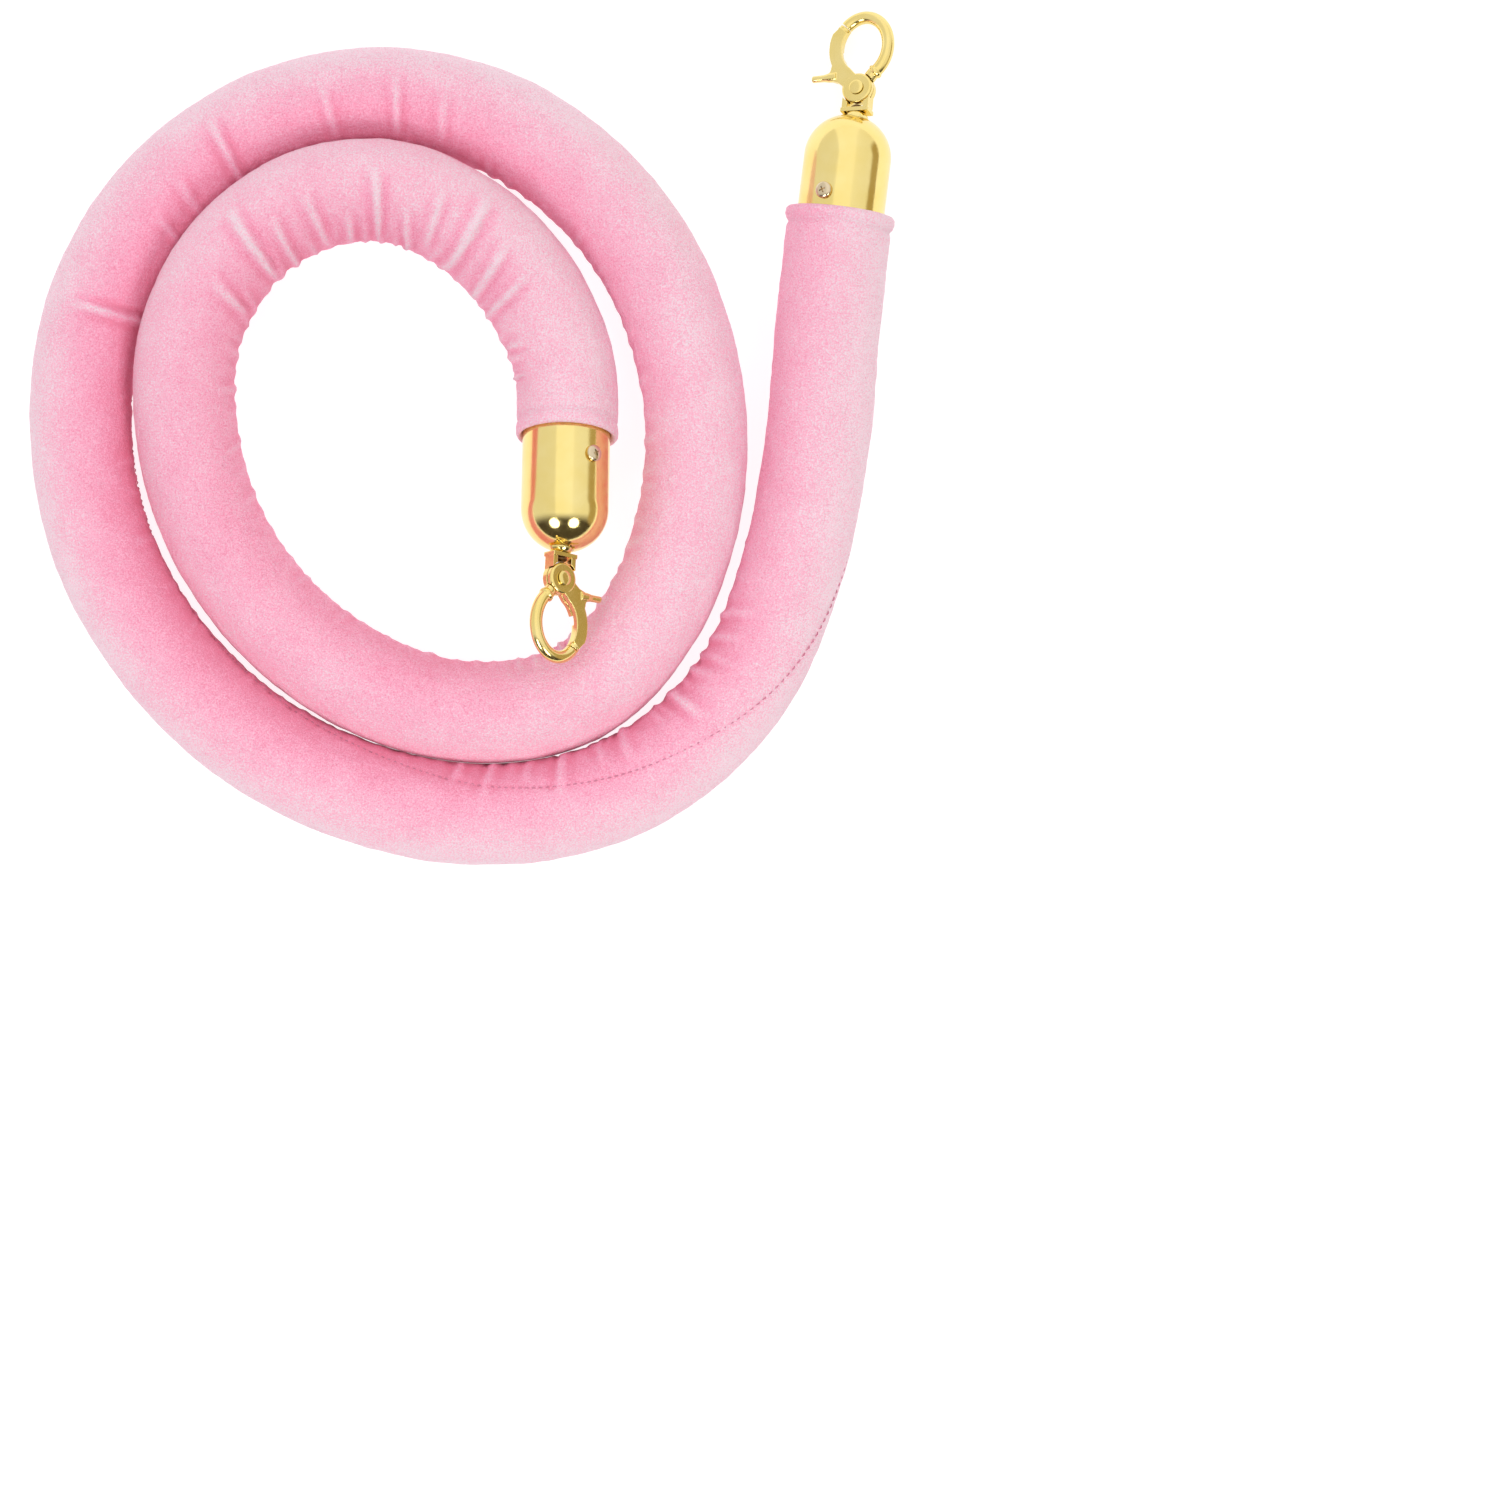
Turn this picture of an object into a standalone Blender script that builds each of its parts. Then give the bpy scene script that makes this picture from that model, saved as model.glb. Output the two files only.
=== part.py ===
"""Velvet barrier rope: a padded velvet rope with a brass cap and a swivelling snap hook at each end.

It lies on a flat surface in a loose double turn. End A is the outer end and lies on the surface.
End B is the inner end: its last stretch rides up on the outer turn, so its cap and hook are raised.
Units are metres, +Z is up, and the origin is the middle of the underside.
"""

import math

import bmesh
import bpy
from mathutils import Matrix, Vector

# Booleans on parts this small are worked out at this many times their size
WORKING_SCALE = 1000.0

# Rope
SLEEVE_R = 0.0171
SLEEVE_WALL = 0.0012
CORE_R = 0.0155
CORE_NECK_R = 0.0132
ROPE_SIDES = 12
ROPE_POINTS = 76
FLAT_R = SLEEVE_R * math.cos(math.pi / ROPE_SIDES)

# End caps and what is inside them
CAP_R = 0.0150
CAP_WALL = 0.0010
CAP_LENGTH = 0.0500
CAP_CHAMFER = 0.0004
POST_HOLE_R = 0.0030
SCREW_HOLE_R = 0.00175
PLUG_R = 0.0133
PLUG_TOP = 0.0120
PLUG_END = 0.0418
CORE_END = 0.0423
NECK_START = 0.0506
NECK_END = 0.0535
HEM_A = 0.0336
HEM_B = 0.0406

# Cap screws
SCREW_HEAD_R = 0.0029
SCREW_HEAD_LOW = 0.0153
SCREW_SHANK_R = 0.00145
SCREW_TIP = 0.0058
PILOT_END = 0.0052

# Swivel posts, measured along the hook's axis from the top of the cap
POST_R = 0.0014
POST_HEAD_R = 0.0022
WASHER_R = 0.0042
WASHER_HOLE_R = 0.0017
WASHER_TOP = -0.0036
WASHER_THICK = 0.0008

# Snap hooks, in the hook's own frame: X to the trigger side, Y out of the face, Z along the hook
FOOT_LOW = 0.0009
FOOT_TOP = 0.0024
FOOT_HALF = Vector((0.0051, 0.0029))
BLOCK_TOP = 0.0078
BLOCK_HALF = Vector((0.0048, 0.0024))
WINDOW_HALF = 0.0029
WINDOW_TOP = 0.0049
PIVOT_Z = 0.0098
EYE_R = 0.0055
KEEP_OUT_R = 0.0058
SPLIT = 0.00015
RING_Z = 0.0255
RING_A = 0.0093
RING_B = 0.0114
WIRE_R = 0.0022
PLATE = 0.0024
SPRING_ROOM_R = 0.0042
SPRING_ROOM = 0.00125
RIVET_R = 0.0013
RIVET_HOLE_R = 0.0016
SPRING_R = 0.0026
SPRING_WIRE_R = 0.0003

# Where each end lies: top of the cap, then azimuth (clockwise from +Y), pitch and roll in degrees
BOX_CENTRE = Vector((-0.0004, 0.00118))
END_A = {
    "cap_top": (0.1332, 0.1112, 0.0152),
    "cap": (7.0, -2.5),
    "hook_top": (0.1344, 0.1108, 0.0152),
    "hook": (5.5, -18.0),
    "roll": 23.0,
}
END_B = {
    "cap_top": (0.0346, -0.0391, 0.0375),
    "cap": (180.8, 16.0),
    "hook_top": (0.0336, -0.0391, 0.0377),
    "hook": (182.5, 12.0),
    "roll": 40.0,
}

# The rope's middle line between the two caps, with heights above the line of a rope lying flat
ROUTE = [
    (0.1240, 0.0355, 0.0006),
    (0.1215, 0.0030, 0.0),
    (0.1130, -0.0425, 0.0),
    (0.0945, -0.0860, 0.0),
    (0.0580, -0.1180, 0.0),
    (0.0115, -0.1290, 0.0),
    (-0.0340, -0.1220, 0.0),
    (-0.0730, -0.1030, 0.0),
    (-0.1035, -0.0740, 0.0),
    (-0.1240, -0.0380, 0.0),
    (-0.1320, 0.0030, 0.0),
    (-0.1265, 0.0445, 0.0),
    (-0.1055, 0.0815, 0.0),
    (-0.0720, 0.1070, 0.0),
    (-0.0320, 0.1170, 0.0),
    (0.0070, 0.1105, 0.0),
    (0.0390, 0.0910, 0.0),
    (0.0615, 0.0645, 0.0),
    (0.0745, 0.0345, 0.0),
    (0.0795, 0.0030, 0.0),
    (0.0765, -0.0290, 0.0),
    (0.0640, -0.0610, 0.0),
    (0.0400, -0.0870, 0.0),
    (0.0055, -0.0945, 0.0),
    (-0.0275, -0.0870, 0.0),
    (-0.0545, -0.0710, 0.0003),
    (-0.0745, -0.0500, 0.0015),
    (-0.0885, -0.0250, 0.0037),
    (-0.0950, 0.0030, 0.0078),
    (-0.0940, 0.0330, 0.0130),
    (-0.0805, 0.0605, 0.0153),
    (-0.0560, 0.0795, 0.0158),
    (-0.0260, 0.0845, 0.0152),
    (0.0005, 0.0735, 0.0125),
    (0.0195, 0.0562, 0.0084),
    (0.0302, 0.0375, 0.0050),
]

# name: colour (linear), metallic, roughness
MATERIALS = {
    "velvet": ((0.90, 0.40, 0.55), 0.0, 0.85),
    "core_foam": ((0.86, 0.84, 0.78), 0.0, 0.9),
    "polished_brass": ((0.90, 0.68, 0.30), 1.0, 0.14),
    "turned_wood": ((0.55, 0.36, 0.19), 0.0, 0.6),
    "screw_brass": ((0.82, 0.72, 0.48), 1.0, 0.25),
    "post_steel": ((0.62, 0.58, 0.50), 1.0, 0.3),
    "hook_brass": ((0.88, 0.66, 0.28), 1.0, 0.16),
    "lever_brass": ((0.88, 0.66, 0.28), 1.0, 0.16),
    "rivet_brass": ((0.86, 0.68, 0.36), 1.0, 0.22),
    "spring_steel": ((0.45, 0.44, 0.42), 1.0, 0.35),
}


def make_material(name):
    """The named Principled material, made once."""
    if name in bpy.data.materials:
        return bpy.data.materials[name]
    colour, metallic, roughness = MATERIALS[name]
    material = bpy.data.materials.new(name)
    material.use_nodes = True
    shader = material.node_tree.nodes["Principled BSDF"]
    shader.inputs["Base Color"].default_value = (*colour, 1.0)
    shader.inputs["Metallic"].default_value = metallic
    shader.inputs["Roughness"].default_value = roughness
    material.diffuse_color = (*colour, 1.0)
    return material


# Solids -----------------------------------------------------------------------------------------


def finish_mesh(bm, name="tool"):
    """Closes off a bmesh as a mesh whose faces point out."""
    bmesh.ops.recalc_face_normals(bm, faces=bm.faces)
    mesh = bpy.data.meshes.new(name)
    bm.to_mesh(mesh)
    bm.free()
    return mesh


def turned(outline, steps, ring=False):
    """The outline, as (radius, height) pairs, turned about Z. A ring's outline doesn't meet the axis."""
    bm = bmesh.new()
    points = [bm.verts.new((radius, 0.0, height)) for radius, height in outline]
    pairs = list(zip(points, points[1:]))
    if ring:
        pairs.append((points[-1], points[0]))
    edges = [bm.edges.new(pair) for pair in pairs]
    bmesh.ops.spin(
        bm,
        geom=points + edges,
        cent=(0, 0, 0),
        axis=(0, 0, 1),
        angle=2 * math.pi,
        steps=steps,
        use_merge=True,
    )
    bmesh.ops.remove_doubles(bm, verts=bm.verts, dist=1e-6)
    return finish_mesh(bm)


def box(low, high):
    bm = bmesh.new()
    bmesh.ops.create_cube(bm, size=1.0)
    size = Vector(high) - Vector(low)
    bmesh.ops.scale(bm, verts=bm.verts, vec=size)
    bmesh.ops.translate(bm, verts=bm.verts, vec=Vector(low) + size / 2)
    return finish_mesh(bm)


def plate(outline, low, high):
    """The outline, as (x, z) pairs, extruded along Y from low to high."""
    bm = bmesh.new()
    face = bm.faces.new([bm.verts.new((x, low, z)) for x, z in outline])
    grown = bmesh.ops.extrude_face_region(bm, geom=[face])
    raised = [item for item in grown["geom"] if isinstance(item, bmesh.types.BMVert)]
    bmesh.ops.translate(bm, verts=raised, vec=(0.0, high - low, 0.0))
    return finish_mesh(bm)


def rod(path, radii, sides):
    """A round bar along a path in the XZ plane, with a flat end at each end."""
    bm = bmesh.new()
    rings = []
    for index, (x, y, z) in enumerate(path):
        before = Vector(path[max(index - 1, 0)])
        after = Vector(path[min(index + 1, len(path) - 1)])
        along = (after - before).normalized()
        across = Vector((0.0, 1.0, 0.0)).cross(along)
        ring = []
        for side in range(sides):
            turn = 2 * math.pi * (side + 0.5) / sides
            out = across * math.cos(turn) + Vector((0.0, 1.0, 0.0)) * math.sin(turn)
            ring.append(bm.verts.new(Vector((x, y, z)) + out * radii[index]))
        rings.append(ring)
    for near, far in zip(rings, rings[1:]):
        for side in range(sides):
            after = (side + 1) % sides
            bm.faces.new((near[side], near[after], far[after], far[side]))
    bm.faces.new(rings[0])
    bm.faces.new(rings[-1])
    return finish_mesh(bm)


def moved(mesh, matrix):
    mesh.transform(matrix)
    return mesh


def about_y(mesh, z):
    """Turns a mesh made about Z so that its axis lies along Y, through the given height."""
    return moved(mesh, Matrix.Translation((0.0, 0.0, z)) @ Matrix.Rotation(-math.pi / 2, 4, "X"))


def combined(mesh, *steps):
    """The mesh after each step, a (Boolean operation, tool mesh) pair, worked out at a larger scale."""
    enlarge = Matrix.Scale(WORKING_SCALE, 4)
    body = bpy.data.objects.new("body", moved(mesh, enlarge))
    bpy.context.scene.collection.objects.link(body)
    tools = []
    for operation, tool_mesh in steps:
        tool = bpy.data.objects.new("tool", moved(tool_mesh, enlarge))
        tool.hide_render = True
        tool.display_type = "WIRE"
        bpy.context.scene.collection.objects.link(tool)
        tools.append(tool)
        step = body.modifiers.new(operation.title(), "BOOLEAN")
        step.operation = operation
        step.object = tool
        step.solver = "EXACT"
    bpy.context.view_layer.update()
    graph = bpy.context.evaluated_depsgraph_get()
    result = bpy.data.meshes.new_from_object(body.evaluated_get(graph))
    for obj in [body, *tools]:
        bpy.data.objects.remove(obj, do_unlink=True)
    return moved(result, enlarge.inverted())


def add(name, mesh, material, parent=None, smooth=35.0):
    """Links the finished piece, smooth except at edges sharper than the angle."""
    piece = bpy.data.objects.new(name, mesh)
    bpy.context.scene.collection.objects.link(piece)
    piece.parent = parent
    mesh.name = name
    mesh.materials.clear()
    mesh.materials.append(make_material(material))
    mesh.shade_smooth()
    mesh.set_sharp_from_angle(angle=math.radians(smooth))
    return piece


# Frames and curves ------------------------------------------------------------------------------


def heading(azimuth, pitch):
    """The unit vector at an azimuth, clockwise from +Y, and a pitch above the horizontal."""
    turn = math.radians(azimuth)
    rise = math.radians(pitch)
    flat = math.cos(rise)
    return Vector((math.sin(turn) * flat, math.cos(turn) * flat, math.sin(rise)))


def end_frame(name, top, angles, roll=0.0):
    """An empty at the cap's top: Z along the heading, X level on its left, then rolled down."""
    z_axis = heading(*angles)
    x_axis = Vector((0.0, 0.0, 1.0)).cross(z_axis).normalized()
    y_axis = z_axis.cross(x_axis)
    turn = Matrix((x_axis, y_axis, z_axis)).transposed().to_4x4()
    place = Matrix.Translation(Vector(top) - BOX_CENTRE.to_3d())
    frame = bpy.data.objects.new(name, None)
    bpy.context.scene.collection.objects.link(frame)
    frame.matrix_world = place @ turn @ Matrix.Rotation(math.radians(-roll), 4, "Z")
    return frame


def ellipse(a, b, start, stop, count):
    """Points (x, z) on an ellipse about the hook's opening, by angle in degrees from +X to +Z."""
    points = []
    for index in range(count + 1):
        turn = math.radians(start + (stop - start) * index / count)
        points.append((a * math.cos(turn), RING_Z + b * math.sin(turn)))
    return points


def smooth_through(points, steps=24):
    """A smooth curve (uniform Catmull-Rom) through the points."""
    ends = [2 * points[0] - points[1], *points, 2 * points[-1] - points[-2]]
    curve = []
    for a, b, c, d in zip(ends, ends[1:], ends[2:], ends[3:]):
        for step in range(steps):
            t = step / steps
            even = 2 * b + (c - a) * t
            curve.append(0.5 * (even + (2 * a - 5 * b + 4 * c - d) * t**2 + (3 * (b - c) + d - a) * t**3))
    curve.append(points[-1])
    return curve


def spaced(curve, count):
    """Points at equal distances along the curve, both ends included."""
    lengths = [0.0]
    for a, b in zip(curve, curve[1:]):
        lengths.append(lengths[-1] + (b - a).length)
    points = []
    index = 0
    for step in range(count):
        goal = lengths[-1] * step / (count - 1)
        while lengths[index + 1] < goal and index < len(curve) - 2:
            index += 1
        share = (goal - lengths[index]) / (lengths[index + 1] - lengths[index])
        points.append(curve[index].lerp(curve[index + 1], share))
    return points


def on_cap_axis(end, distance):
    """The point on a cap's axis at a distance from its top."""
    return Vector(end["cap_top"]) - heading(*end["cap"]) * distance


def rope_line():
    """The rope's middle line from cap to cap, where its velvet is at full width."""
    rise = Vector((0.0, 0.0, FLAT_R))
    route = [Vector(point) + rise for point in ROUTE]
    start = [on_cap_axis(END_A, NECK_END), on_cap_axis(END_A, 0.0620)]
    stop = [on_cap_axis(END_B, 0.0640), on_cap_axis(END_B, NECK_END)]
    curve = smooth_through([*start, *route, *stop])
    for point in curve:
        point.z = max(point.z, FLAT_R)
    return spaced(curve, ROPE_POINTS)


def tube(name, points, radii, material, caps):
    """A curve object of twelve sides with one of them facing down."""
    curve = bpy.data.curves.new(name, "CURVE")
    curve.dimensions = "3D"
    curve.twist_mode = "Z_UP"
    curve.bevel_depth = 1.0
    curve.bevel_resolution = (ROPE_SIDES - 4) // 2
    curve.use_fill_caps = caps
    spline = curve.splines.new("POLY")
    spline.points.add(len(points) - 1)
    for knot, point, radius in zip(spline.points, points, radii):
        knot.co = (*(point - BOX_CENTRE.to_3d()), 1.0)
        knot.radius = radius
        knot.tilt = math.pi / ROPE_SIDES
    spline.use_smooth = True
    piece = bpy.data.objects.new(name, curve)
    bpy.context.scene.collection.objects.link(piece)
    curve.materials.append(make_material(material))
    return piece


# Rope -------------------------------------------------------------------------------------------


def build_rope():
    line = rope_line()

    sleeve_line = [on_cap_axis(END_A, HEM_A), *line, on_cap_axis(END_B, HEM_B)]
    sleeve = tube("velvet_sleeve", sleeve_line, [SLEEVE_R] * len(sleeve_line), "velvet", caps=False)
    wall = sleeve.modifiers.new("Wall", "SOLIDIFY")
    wall.thickness = SLEEVE_WALL
    wall.offset = -1.0

    necks = [CORE_END, NECK_START]
    near = [on_cap_axis(END_A, distance) for distance in necks]
    far = [on_cap_axis(END_B, distance) for distance in reversed(necks)]
    slim = [CORE_NECK_R] * len(necks)
    radii = [*slim, *[CORE_R] * len(line), *slim]
    tube("rope_core", [*near, *line, *far], radii, "core_foam", caps=True)


# Caps -------------------------------------------------------------------------------------------


def dome(radius, hole, count):
    """Outline points from the hole's edge at the top of a half sphere down to its rim."""
    start = math.asin(hole / radius)
    points = []
    for index in range(count + 1):
        turn = start + (math.pi / 2 - start) * index / count
        points.append((radius * math.sin(turn), radius * math.cos(turn) - CAP_R))
    return points


def drill(radius, depth, low, high, turn):
    """A cutter pointing out from the cap's axis at a depth below its top, turned from +Y."""
    cutter = turned([(0.0, low), (radius, low), (radius, high), (0.0, high)], 16)
    return moved(cutter, radial(depth, turn))


def radial(depth, turn):
    """Z out from the cap's axis, at a depth below its top and an angle from +Y towards +X."""
    out = Matrix.Rotation(math.radians(-turn), 4, "Z") @ Matrix.Rotation(-math.pi / 2, 4, "X")
    return Matrix.Translation((0.0, 0.0, -depth)) @ out


def screw_mesh():
    shank_top = SCREW_HEAD_LOW
    outline = [
        (0.0, SCREW_TIP),
        (SCREW_SHANK_R, SCREW_TIP + 0.0016),
        (SCREW_SHANK_R, shank_top),
        (SCREW_HEAD_R, shank_top),
        (SCREW_HEAD_R, shank_top + 0.0007),
        (SCREW_HEAD_R * 0.82, shank_top + 0.0013),
        (SCREW_HEAD_R * 0.42, shank_top + 0.0016),
        (0.0, shank_top + 0.0017),
    ]
    slot_low = shank_top + 0.0008
    slot_high = shank_top + 0.0030
    slot_half = (0.0016, 0.00032)
    slots = [box((-x, -y, slot_low), (x, y, slot_high)) for x, y in (slot_half, slot_half[::-1])]
    return combined(turned(outline, 20), ("DIFFERENCE", slots[0]), ("DIFFERENCE", slots[1]))


def build_cap(letter, end, screw_depth, screw_turn):
    frame = end_frame(f"cap_{letter}_frame", end["cap_top"], end["cap"])

    inner_r = CAP_R - CAP_WALL
    outer = dome(CAP_R, POST_HOLE_R, 7)
    mouth = [
        (CAP_R, CAP_CHAMFER - CAP_LENGTH),
        (CAP_R - CAP_CHAMFER, -CAP_LENGTH),
        (inner_r, -CAP_LENGTH),
    ]
    inner = dome(inner_r, POST_HOLE_R, 5)[::-1]
    shell = turned([*outer, *mouth, *inner], 28, ring=True)
    hole = drill(SCREW_HOLE_R, screw_depth, 0.010, 0.018, screw_turn)
    add(f"end_cap_{letter}", combined(shell, ("DIFFERENCE", hole)), "polished_brass", frame)

    edge = 0.0010
    outline = [
        (0.0, -PLUG_TOP),
        (PLUG_R - edge, -PLUG_TOP),
        (PLUG_R, -PLUG_TOP - edge),
        (PLUG_R, edge - PLUG_END),
        (PLUG_R - edge, -PLUG_END),
        (0.0, -PLUG_END),
    ]
    pilot = drill(SCREW_HOLE_R, screw_depth, PILOT_END, 0.018, screw_turn)
    plug = combined(turned(outline, 24), ("DIFFERENCE", pilot))
    add(f"core_plug_{letter}", plug, "turned_wood", frame)

    screw = moved(screw_mesh(), radial(screw_depth, screw_turn) @ Matrix.Rotation(0.5, 4, "Z"))
    add(f"cap_screw_{letter}", screw, "screw_brass", frame)


# Hooks ------------------------------------------------------------------------------------------


def post_mesh():
    """The swivel post: a peened end inside the cap, and a round head in the hook's window."""
    peen_top = WASHER_TOP - WASHER_THICK - 0.0003
    head_low = FOOT_TOP + 0.0003
    outline = [
        (0.0, peen_top - 0.0008),
        (POST_HEAD_R - 0.0006, peen_top - 0.0008),
        (POST_HEAD_R, peen_top - 0.0004),
        (POST_HEAD_R, peen_top),
        (POST_R, peen_top),
        (POST_R, head_low),
        (POST_HEAD_R, head_low),
        (POST_HEAD_R, head_low + 0.0005),
        (POST_HEAD_R - 0.0008, head_low + 0.0011),
        (0.0, head_low + 0.0013),
    ]
    return turned(outline, 20)


def washer_mesh():
    low = WASHER_TOP - WASHER_THICK
    outline = [(WASHER_R, WASHER_TOP), (WASHER_R, low), (WASHER_HOLE_R, low), (WASHER_HOLE_R, WASHER_TOP)]
    return turned(outline, 20, ring=True)


def eye(radius, low, high, steps=32):
    """A round solid about the pivot, from low to high along Y."""
    return about_y(turned([(0.0, low), (radius, low), (radius, high), (0.0, high)], steps), PIVOT_Z)


def stepped_hole(floor, mouth):
    """A cutter for the rivet's hole, widened from floor to mouth along Y to make room for the spring."""
    outline = [
        (0.0, -mouth),
        (RIVET_HOLE_R, -mouth),
        (RIVET_HOLE_R, floor),
        (SPRING_ROOM_R, floor),
        (SPRING_ROOM_R, mouth),
        (0.0, mouth),
    ]
    return about_y(turned(outline, 24), PIVOT_Z)


def flat_path(points):
    return [(x, 0.0, z) for x, z in points]


def hook_body_mesh():
    foot = box((-FOOT_HALF.x, -FOOT_HALF.y, FOOT_LOW), (FOOT_HALF.x, FOOT_HALF.y, FOOT_TOP))
    block = box(
        (-BLOCK_HALF.x, -BLOCK_HALF.y, FOOT_TOP - 0.0006), (BLOCK_HALF.x, BLOCK_HALF.y, BLOCK_TOP)
    )
    cheek = eye(EYE_R, -PLATE + 0.00005, 0.0008)
    reach = 0.0008
    horn_outline = [
        *ellipse(RING_A + reach, RING_B + reach, -25.0, -50.0, 4),
        (0.0054, 0.0112),
        (-0.0010, 0.0122),
        *ellipse(RING_A - WIRE_R, RING_B - WIRE_R, -66.0, -25.0, 5),
    ]
    horn = plate(horn_outline, -WIRE_R, -SPLIT - 0.00005)
    bend = [(-0.0026, 0.0126), *ellipse(RING_A, RING_B, 240.0, 45.5, 20)]
    nose = [WIRE_R] * len(bend)
    ring = rod(flat_path(bend), nose, 12)

    lever_room = eye(KEEP_OUT_R, -SPLIT, 0.0040)
    window = box((-WINDOW_HALF, -0.0040, FOOT_TOP), (WINDOW_HALF, 0.0040, WINDOW_TOP))
    post_hole = turned(
        [(0.0, 0.0), (POST_R + 0.00025, 0.0), (POST_R + 0.00025, 0.0030), (0.0, 0.0030)], 16
    )
    return combined(
        block,
        ("UNION", foot),
        ("UNION", cheek),
        ("UNION", ring),
        ("UNION", horn),
        ("DIFFERENCE", lever_room),
        ("DIFFERENCE", window),
        ("DIFFERENCE", post_hole),
        ("DIFFERENCE", stepped_hole(-SPRING_ROOM, 0.0040)),
    )


def hook_lever_mesh():
    """The sprung lever that closes the hook, with the peg that the thumb pulls."""
    disc = eye(EYE_R, SPLIT, PLATE)
    outline = [
        *ellipse(RING_A + WIRE_R, RING_B + WIRE_R, -35.0, 42.0, 9),
        *ellipse(0.0069, 0.0092, 42.0, -62.0, 10),
        (0.0, 0.0140),
        (0.0050, 0.0105),
        (0.0075, 0.0130),
        (0.0093, 0.0155),
    ]
    arm = plate(outline, SPLIT + 0.00005, PLATE - 0.0001)
    bend = ellipse(RING_A - 0.0002, RING_B, -5.0, 43.0, 6)
    tip = rod(flat_path(bend), [WIRE_R] * 6 + [WIRE_R - 0.00015], 12)
    peg_y = 0.00135
    peg_path = [
        (0.0080, peg_y, 0.0146),
        (0.0110, peg_y, 0.0145),
        (0.0165, peg_y, 0.0142),
        (0.0171, peg_y, 0.01418),
        (0.0174, peg_y, 0.01417),
    ]
    peg = rod(peg_path, [0.0014, 0.0014, 0.0012, 0.0009, 0.0004], 12)
    return combined(
        disc,
        ("UNION", arm),
        ("UNION", tip),
        ("UNION", peg),
        ("DIFFERENCE", stepped_hole(SPRING_ROOM, -0.0040)),
    )


def rivet_mesh():
    """The pivot's rivet, along Y, with a low dome at the front and a peened end behind."""
    gap = PLATE + 0.0003
    outline = [
        (0.0, -gap - 0.0006),
        (0.0018, -gap - 0.0006),
        (0.0024, -gap - 0.0002),
        (0.0024, -gap),
        (RIVET_R, -gap),
        (RIVET_R, gap),
        (0.0028, gap),
        (0.0028, gap + 0.0002),
        (0.0021, gap + 0.0006),
        (0.0, gap + 0.0008),
    ]
    return about_y(turned(outline, 20), PIVOT_Z)


def build_spring(name, parent):
    """The lever's torsion spring: a coil round the rivet, with a straight leg at each end."""
    turns = 2.0
    per_turn = 14
    rise = 0.00065
    count = int(turns * per_turn)
    points = []
    for index in range(count + 1):
        turn = 2 * math.pi * index / per_turn
        depth = rise * (2 * index / count - 1)
        points.append(Vector((SPRING_R * math.cos(turn), depth, SPRING_R * math.sin(turn))))
    leg = Vector((0.0, 0.0, -0.0022))
    points = [points[0] + leg, *points, points[-1] - leg]

    curve = bpy.data.curves.new(name, "CURVE")
    curve.dimensions = "3D"
    curve.bevel_depth = SPRING_WIRE_R
    curve.bevel_resolution = 1
    curve.use_fill_caps = True
    spline = curve.splines.new("POLY")
    spline.points.add(len(points) - 1)
    for knot, point in zip(spline.points, points):
        knot.co = (*point, 1.0)
    piece = bpy.data.objects.new(name, curve)
    bpy.context.scene.collection.objects.link(piece)
    curve.materials.append(make_material("spring_steel"))
    piece.parent = parent
    piece.location = (0.0, 0.0, PIVOT_Z)
    return piece


def build_hook(letter, end):
    frame = end_frame(f"hook_{letter}_frame", end["hook_top"], end["hook"], end["roll"])
    add(f"swivel_post_{letter}", post_mesh(), "post_steel", frame)
    add(f"post_washer_{letter}", washer_mesh(), "post_steel", frame)
    add(f"hook_body_{letter}", hook_body_mesh(), "hook_brass", frame)
    add(f"pivot_rivet_{letter}", rivet_mesh(), "rivet_brass", frame)
    build_spring(f"lever_spring_{letter}", frame)

    pivot = bpy.data.objects.new(f"lever_{letter}_pivot", None)
    bpy.context.scene.collection.objects.link(pivot)
    pivot.parent = frame
    pivot.location = (0.0, 0.0, PIVOT_Z)
    lever = moved(hook_lever_mesh(), Matrix.Translation((0.0, 0.0, -PIVOT_Z)))
    add(f"hook_lever_{letter}", lever, "lever_brass", pivot)


def main():
    for leftover in list(bpy.data.objects):
        bpy.data.objects.remove(leftover, do_unlink=True)
    build_rope()
    build_cap("a", END_A, screw_depth=0.0285, screw_turn=26.0)
    build_cap("b", END_B, screw_depth=0.0312, screw_turn=39.0)
    build_hook("a", END_A)
    build_hook("b", END_B)


main()
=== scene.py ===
"""The looks of the velvet barrier rope: velvet, seam, caps, screws and snap hooks, with their materials.

Lengths are metres in the CAD model's frame, once BOX_CENTRE has been taken off.
"""

import math

import bmesh
import bpy
import numpy as np
from mathutils import Matrix, Vector

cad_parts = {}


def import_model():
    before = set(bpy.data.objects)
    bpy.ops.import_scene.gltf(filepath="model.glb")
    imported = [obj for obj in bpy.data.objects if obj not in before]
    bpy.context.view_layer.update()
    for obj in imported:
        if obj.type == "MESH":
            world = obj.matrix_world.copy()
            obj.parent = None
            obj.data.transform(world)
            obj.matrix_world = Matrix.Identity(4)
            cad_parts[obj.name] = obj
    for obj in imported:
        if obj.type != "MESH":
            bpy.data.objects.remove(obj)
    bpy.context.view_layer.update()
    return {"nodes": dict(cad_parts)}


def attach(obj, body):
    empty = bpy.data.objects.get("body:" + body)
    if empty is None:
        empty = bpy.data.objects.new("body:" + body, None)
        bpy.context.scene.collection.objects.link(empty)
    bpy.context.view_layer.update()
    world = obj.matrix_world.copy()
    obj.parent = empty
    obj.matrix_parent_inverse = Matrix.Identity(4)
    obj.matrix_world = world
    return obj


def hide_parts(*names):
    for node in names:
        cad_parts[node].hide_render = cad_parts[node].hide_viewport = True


# Booleans and remeshing on parts this small are worked out at this many times their size
WORKING_SCALE = 1000.0

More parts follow.
